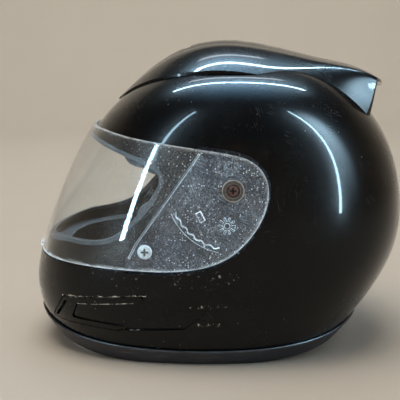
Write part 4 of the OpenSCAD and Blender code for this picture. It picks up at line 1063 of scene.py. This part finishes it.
rings, roll_turns = [], np.linspace(ROLL_FROM, ROLL_TO, ROLL_STEPS)
for turn in roll_turns:
    u = math.radians(turn)
    p, out = skin(0.05, u), skin_normal(0.05, u)
    rise = unit(skin(0.06, u) - p)
    full = ROLL_FULL * min(1, (74 - abs(turn - 180)) / 12 + 0.55)
    centre = p - out * (LINER_OUT + ROLL_SAG + ROLL_T / 2) - rise * ROLL_H / 6
    rings.append(centre + circle(full, steps=24) @ [out * ROLL_T / 2, rise * ROLL_H / 2])
neck_roll = puffed(made("neck_cushion", swept(rings)), 4, 3, 1.6)
spine = np.mean(rings, axis=1)
points = places(neck_roll)
nearest = np.argmin(np.linalg.norm(points[:, None] - spine[None], axis=2), axis=1)
from_spine, tangents = points - spine[nearest], unit(np.gradient(spine, axis=0))
run = lengths(spine)[nearest] + np.sum(from_spine * tangents[nearest], axis=1)
from_gather = np.min([np.abs(run - np.interp(g, roll_turns, lengths(spine))) for g in GATHERS], axis=0)
moved(neck_roll, points - GATHERED * sewn_in(from_gather, GATHER_W)[:, None] * from_spine)
fitted(neck_roll, lining, "padding", "neck_roll")

# Strap anchors and rivets: stamped steel plates riveted inside the shell, which hold the ends of the chin strap. Their
# CAD shape is right.
redone(metal("anchor_steel", (0.56, 0.56, 0.55), (0.3, 0.29, 0.27), 0.34, 0.9), "strap_anchor_left",
       "strap_anchor_right", "anchor_rivets")

# Chin strap: two lengths of flat woven webbing, folded over the rivets at their upper ends. The left one is sewn into
# a loop round the bars of both rings, and the right one ends free, to be drawn through them.
STRAP_Y, STRAP_T, STRAP_IN, SEWN_W, SHORT_SEWN, LONG_SEWN = -9, 2, 10, 9, (66, 86), (96, 108)
RING_IN, RING_Z, RING_GAP, LOOP_IN, LOOP_OUT = 30, 5.5, 4.8, 1.9, 3.8
WEB_SECTION = [(-12, -0.5), (-11.5, -1), (-6, -1), (0, -1), (6, -1), (11.5, -1), (12, -0.5), (12, 0.5), (11.5, 1),
               (6, 1), (0, 1), (-6, 1), (-11.5, 1), (-12, 0.5)]
rim_x = float(skin(0, math.pi / 2)[0])
ring_x = rim_x - RING_IN
strap_down = [[half_width(STRAP_Y, z) - STRAP_IN, z] for z in (75, 66, 54, 42, 30)] + [[rim_x - 4, 21]]


def eased(run):
    """A bent line with its corners cut twice over."""
    run = np.asarray(run, float)
    for _ in range(2):
        cut = np.stack([run[:-1] * 0.75 + run[1:] * 0.25, run[:-1] * 0.25 + run[1:] * 0.75], 1).reshape(-1, 2)
        run = np.concatenate([run[:1], cut, run[-1:]])
    return run


def webbing(run, closed=False, thick=STRAP_T):
    """Flat band along a line of the front view [x, z], its width along y."""
    run = np.asarray(run, float)
    along = np.roll(run, -1, 0) - np.roll(run, 1, 0) if closed else np.gradient(run, axis=0)
    face = unit(np.stack([-along[:, 1], along[:, 0]], 1)) * thick / 2
    return swept([[(p[0] + n[0] * h, STRAP_Y + w, p[1] + n[1] * h) for w, h in WEB_SECTION]
                  for p, n in zip(run, face)], closed)


def box_of_stitches(run, first, last, side):
    """Rows sewn round a box and corner to corner, on one face of a strap between two lengths of it."""
    face = run + side * STRAP_T / 2 * unit(np.gradient(run, axis=0))[:, ::-1] * [-1, 1]

    def row(lengthwise, across):
        x, z = (np.interp(lengthwise, lengths(run), face[:, k]) for k in (0, 1))
        return list(np.stack([x, STRAP_Y + across, z], 1))

    ends, ways = np.linspace(first, last, 14), np.linspace(-SEWN_W, SEWN_W, 8)
    slope = np.linspace(-SEWN_W, SEWN_W, 14)
    return [row(ends, 0 * ends - SEWN_W), row(ends, 0 * ends + SEWN_W), row(0 * ways + first, ways),
            row(0 * ways + last, ways), row(ends, slope), row(ends, -slope)]


short_run = eased(strap_down + [[rim_x - 9, 14], [rim_x - 16, 9], [ring_x + 3, RING_Z + RING_GAP / 2]])
long_run = eased(strap_down + [[rim_x - 10, 12], [rim_x - 17, 6], [rim_x - 28, 3], [rim_x - 31, 4], [rim_x - 32, 6],
                               [rim_x - 30, 8], [rim_x - 22, 9.5]])
mid_r, half_turn = (LOOP_IN + LOOP_OUT) / 2, np.linspace(0, math.pi, 13)
half_loop = mid_r * np.stack([np.cos(half_turn), np.sin(half_turn)], 1)
loop_line = np.concatenate([[ring_x, RING_Z + RING_GAP] + half_loop, [ring_x, RING_Z] - half_loop])
short_strap = added(made("strap_short", webbing(short_run)), webbing(loop_line, True, LOOP_OUT - LOOP_IN))
long_strap = made("strap_long", mirrored(webbing(long_run)))
web = Finish("strap_webbing", (0.02, 0.02, 0.022), 0.8, Sheen_Weight=0.25)
along, across = web.attribute("along"), web.attribute("across")
picks = web.maths("SINE", web.maths("MULTIPLY", web.maths("MULTIPLY_ADD", across, 0.45, along), 4.2))
ribs = web.maths("SINE", web.maths("MULTIPLY", across, 3.1))
weave = web.ranged(web.maths("ADD", picks, ribs), -1.6, 1.6)
fuzz = web.patches(0.45, 0.75, 260, 4, 0.7)
colour = web.mixed(weave, (0.008, 0.008, 0.009), (0.05, 0.05, 0.054))
web.show(Base_Color=web.mixed(fuzz, colour, (0.14, 0.135, 0.13), 0.3), Roughness=web.ranged(fuzz, 0, 1, 0.7, 0.92))
web.bump(weave, 0.6, 0.0005)
for strap, run, side, node in ((short_strap, short_run, 1, "chin_strap_left"),
                               (long_strap, long_run, -1, "chin_strap_right")):
    points = places(smoothed(strap, 40))
    marked(strap, "along", beside(points[:, [0, 2]] * [side, 1], run)[1])
    marked(strap, "across", points[:, 1] - STRAP_Y)
    fitted(strap, web.material, "strap_web", node)
rows = []
for side in (-1, 1):
    rows += box_of_stitches(short_run, *SHORT_SEWN, side)
    rows += [[p * [-1, 1, 1] for p in row] for row in box_of_stitches(long_run, *LONG_SEWN, side)]
stitched("chin_strap_stitches", rows, "strap_web", 0.0026, 0.0019)

# Strap rings: two steel rings of bent and welded wire, whose straight bars turn in the loop of the left strap. Their
# CAD shape is right, and they are plated bright.
redone(metal("ring_steel", (0.68, 0.68, 0.67), (0.42, 0.41, 0.4), 0.22, 1.0), "d_ring_lower", "d_ring_upper")

# Studio: a plain pale floor that runs up into a round wall, a long strip light over the crown, tall strips in front
# and behind that draw the long lines on the gloss, and soft lights above. The camera stands at the wearer's left.
# Sizes are in metres from here on.
FLOOR_R, WALL_R, WALL_TOP, FLOOR_TURNS = 2.2, 3.0, 2.6, 96
AIM, TALL_Z, TALL_H, SKY = Vector((0, -0.017, 0.126)), 1.07, 2.1, (0.52, 0.8, 1.0)
CAMERA_FAR, CAMERA_UP, CAMERA_LENS, CAMERA_FILM = 0.75, math.radians(10), 71.46, 36
bowl = [(FLOOR_R * k / 6, 0.0) for k in range(1, 7)]
bowl += [(FLOOR_R + (WALL_R - FLOOR_R) * math.sin(a), (WALL_R - FLOOR_R) * (1 - math.cos(a)))
         for a in np.linspace(0.1, math.pi / 2, 14)] + [(WALL_R, WALL_TOP)]
corners = [(x, y, z) for r, z in bowl for x, y in circle(r, steps=FLOOR_TURNS)] + [(0.0, 0.0, 0.0)]
sides = [side[::-1] for side in bands(len(bowl), FLOOR_TURNS)]
sides += [(len(corners) - 1, j, (j + 1) % FLOOR_TURNS) for j in range(FLOOR_TURNS)]
studio_floor = made("studio_floor", (np.array(corners) / MM, sides))
studio_floor.data.shade_smooth()
card = Finish("pale_card", (0.68, 0.61, 0.52), 0.9)
card.show(Base_Color=card.mixed(card.noise(3), (0.66, 0.59, 0.5), (0.7, 0.63, 0.54)))
studio_floor.data.materials.append(card.material)


def lamp(name, at, width, height, watts, colour, aim=AIM, shine=True, light_up=True, soft=False):
    """Area lamp that shines in the gloss, lights up what is matt, or both; a soft one fades towards its edges."""
    light = bpy.data.lights.new(name, "AREA")
    light.shape, light.size, light.size_y, light.energy, light.color = "RECTANGLE", width, height, watts, colour
    if soft:
        light.use_nodes = True
        tree = light.node_tree
        spot = add(tree, "ShaderNodeNewGeometry").outputs["Parametric"]
        fades = []
        for way in add(tree, "ShaderNodeSeparateXYZ", {0: spot}).outputs[:2]:
            off = add(tree, "ShaderNodeMath", {0: way, 1: 0.5}, operation="SUBTRACT").outputs[0]
            off = add(tree, "ShaderNodeMath", {0: off}, operation="ABSOLUTE").outputs[0]
            fades.append(add(tree, "ShaderNodeMapRange", {"Value": off, "From Min": 0.5, "From Max": 0.0,
                                                          "To Min": 0.0, "To Max": 1.6},
                             interpolation_type="SMOOTHSTEP").outputs["Result"])
        strength = add(tree, "ShaderNodeMath", dict(enumerate(fades)), operation="MULTIPLY").outputs[0]
        tree.links.new(strength, tree.nodes["Emission"].inputs["Strength"])
    holder = bpy.data.objects.new(name, light)
    holder.location = at
    holder.rotation_euler = (aim - Vector(at)).to_track_quat("-Z", "Y").to_euler()
    holder.visible_camera, holder.visible_glossy, holder.visible_diffuse = False, shine, light_up
    bpy.context.scene.collection.objects.link(holder)


lamp("overhead_strip", (-0.46, 0.0, 1.6), 1.3, 0.035, 22, SKY, light_up=False)
for name, at, width, watts, soft in (("front_strip", (0.64, -0.665), 0.042, 18, False),
                                     ("rear_strip", (0.62, 0.66), 0.03, 24, False),
                                     ("rear_panel", (0.54, 0.74), 0.42, 36, True)):
    lamp(name, (*at, TALL_Z), width, TALL_H, watts, SKY, Vector((AIM.x, AIM.y, TALL_Z)), light_up=False, soft=soft)
lamp("sky_panel", (-0.5, 0.0, 2.4), 2.2, 1.8, 25, (0.3, 0.64, 1.0), light_up=False, soft=True)
lamp("warm_fill", (0.5, -0.3, 2.5), 1.6, 1.6, 38, (1.0, 0.95, 0.88), shine=False)
lamp("wall_wash", (-1.2, 0.0, 2.4), 1.2, 0.5, 23, (0.88, 0.95, 1.0), Vector((-3.0, 0.0, 0.9)))
world = bpy.data.worlds.new("studio_air")
world.use_nodes = True
air = world.node_tree.nodes["Background"].inputs
air["Color"].default_value, air["Strength"].default_value = (0.9, 0.88, 0.84, 1), 0.12
scene = bpy.context.scene
scene.world = world
scene.view_settings.view_transform = "Standard"
camera = bpy.data.objects.new("camera", bpy.data.cameras.new("camera"))
camera.data.lens, camera.data.sensor_width = CAMERA_LENS, CAMERA_FILM
camera.location = AIM + CAMERA_FAR * Vector((math.cos(CAMERA_UP), 0, math.sin(CAMERA_UP)))
camera.rotation_euler = (AIM - camera.location).to_track_quat("-Z", "Y").to_euler()
scene.collection.objects.link(camera)
scene.camera = camera
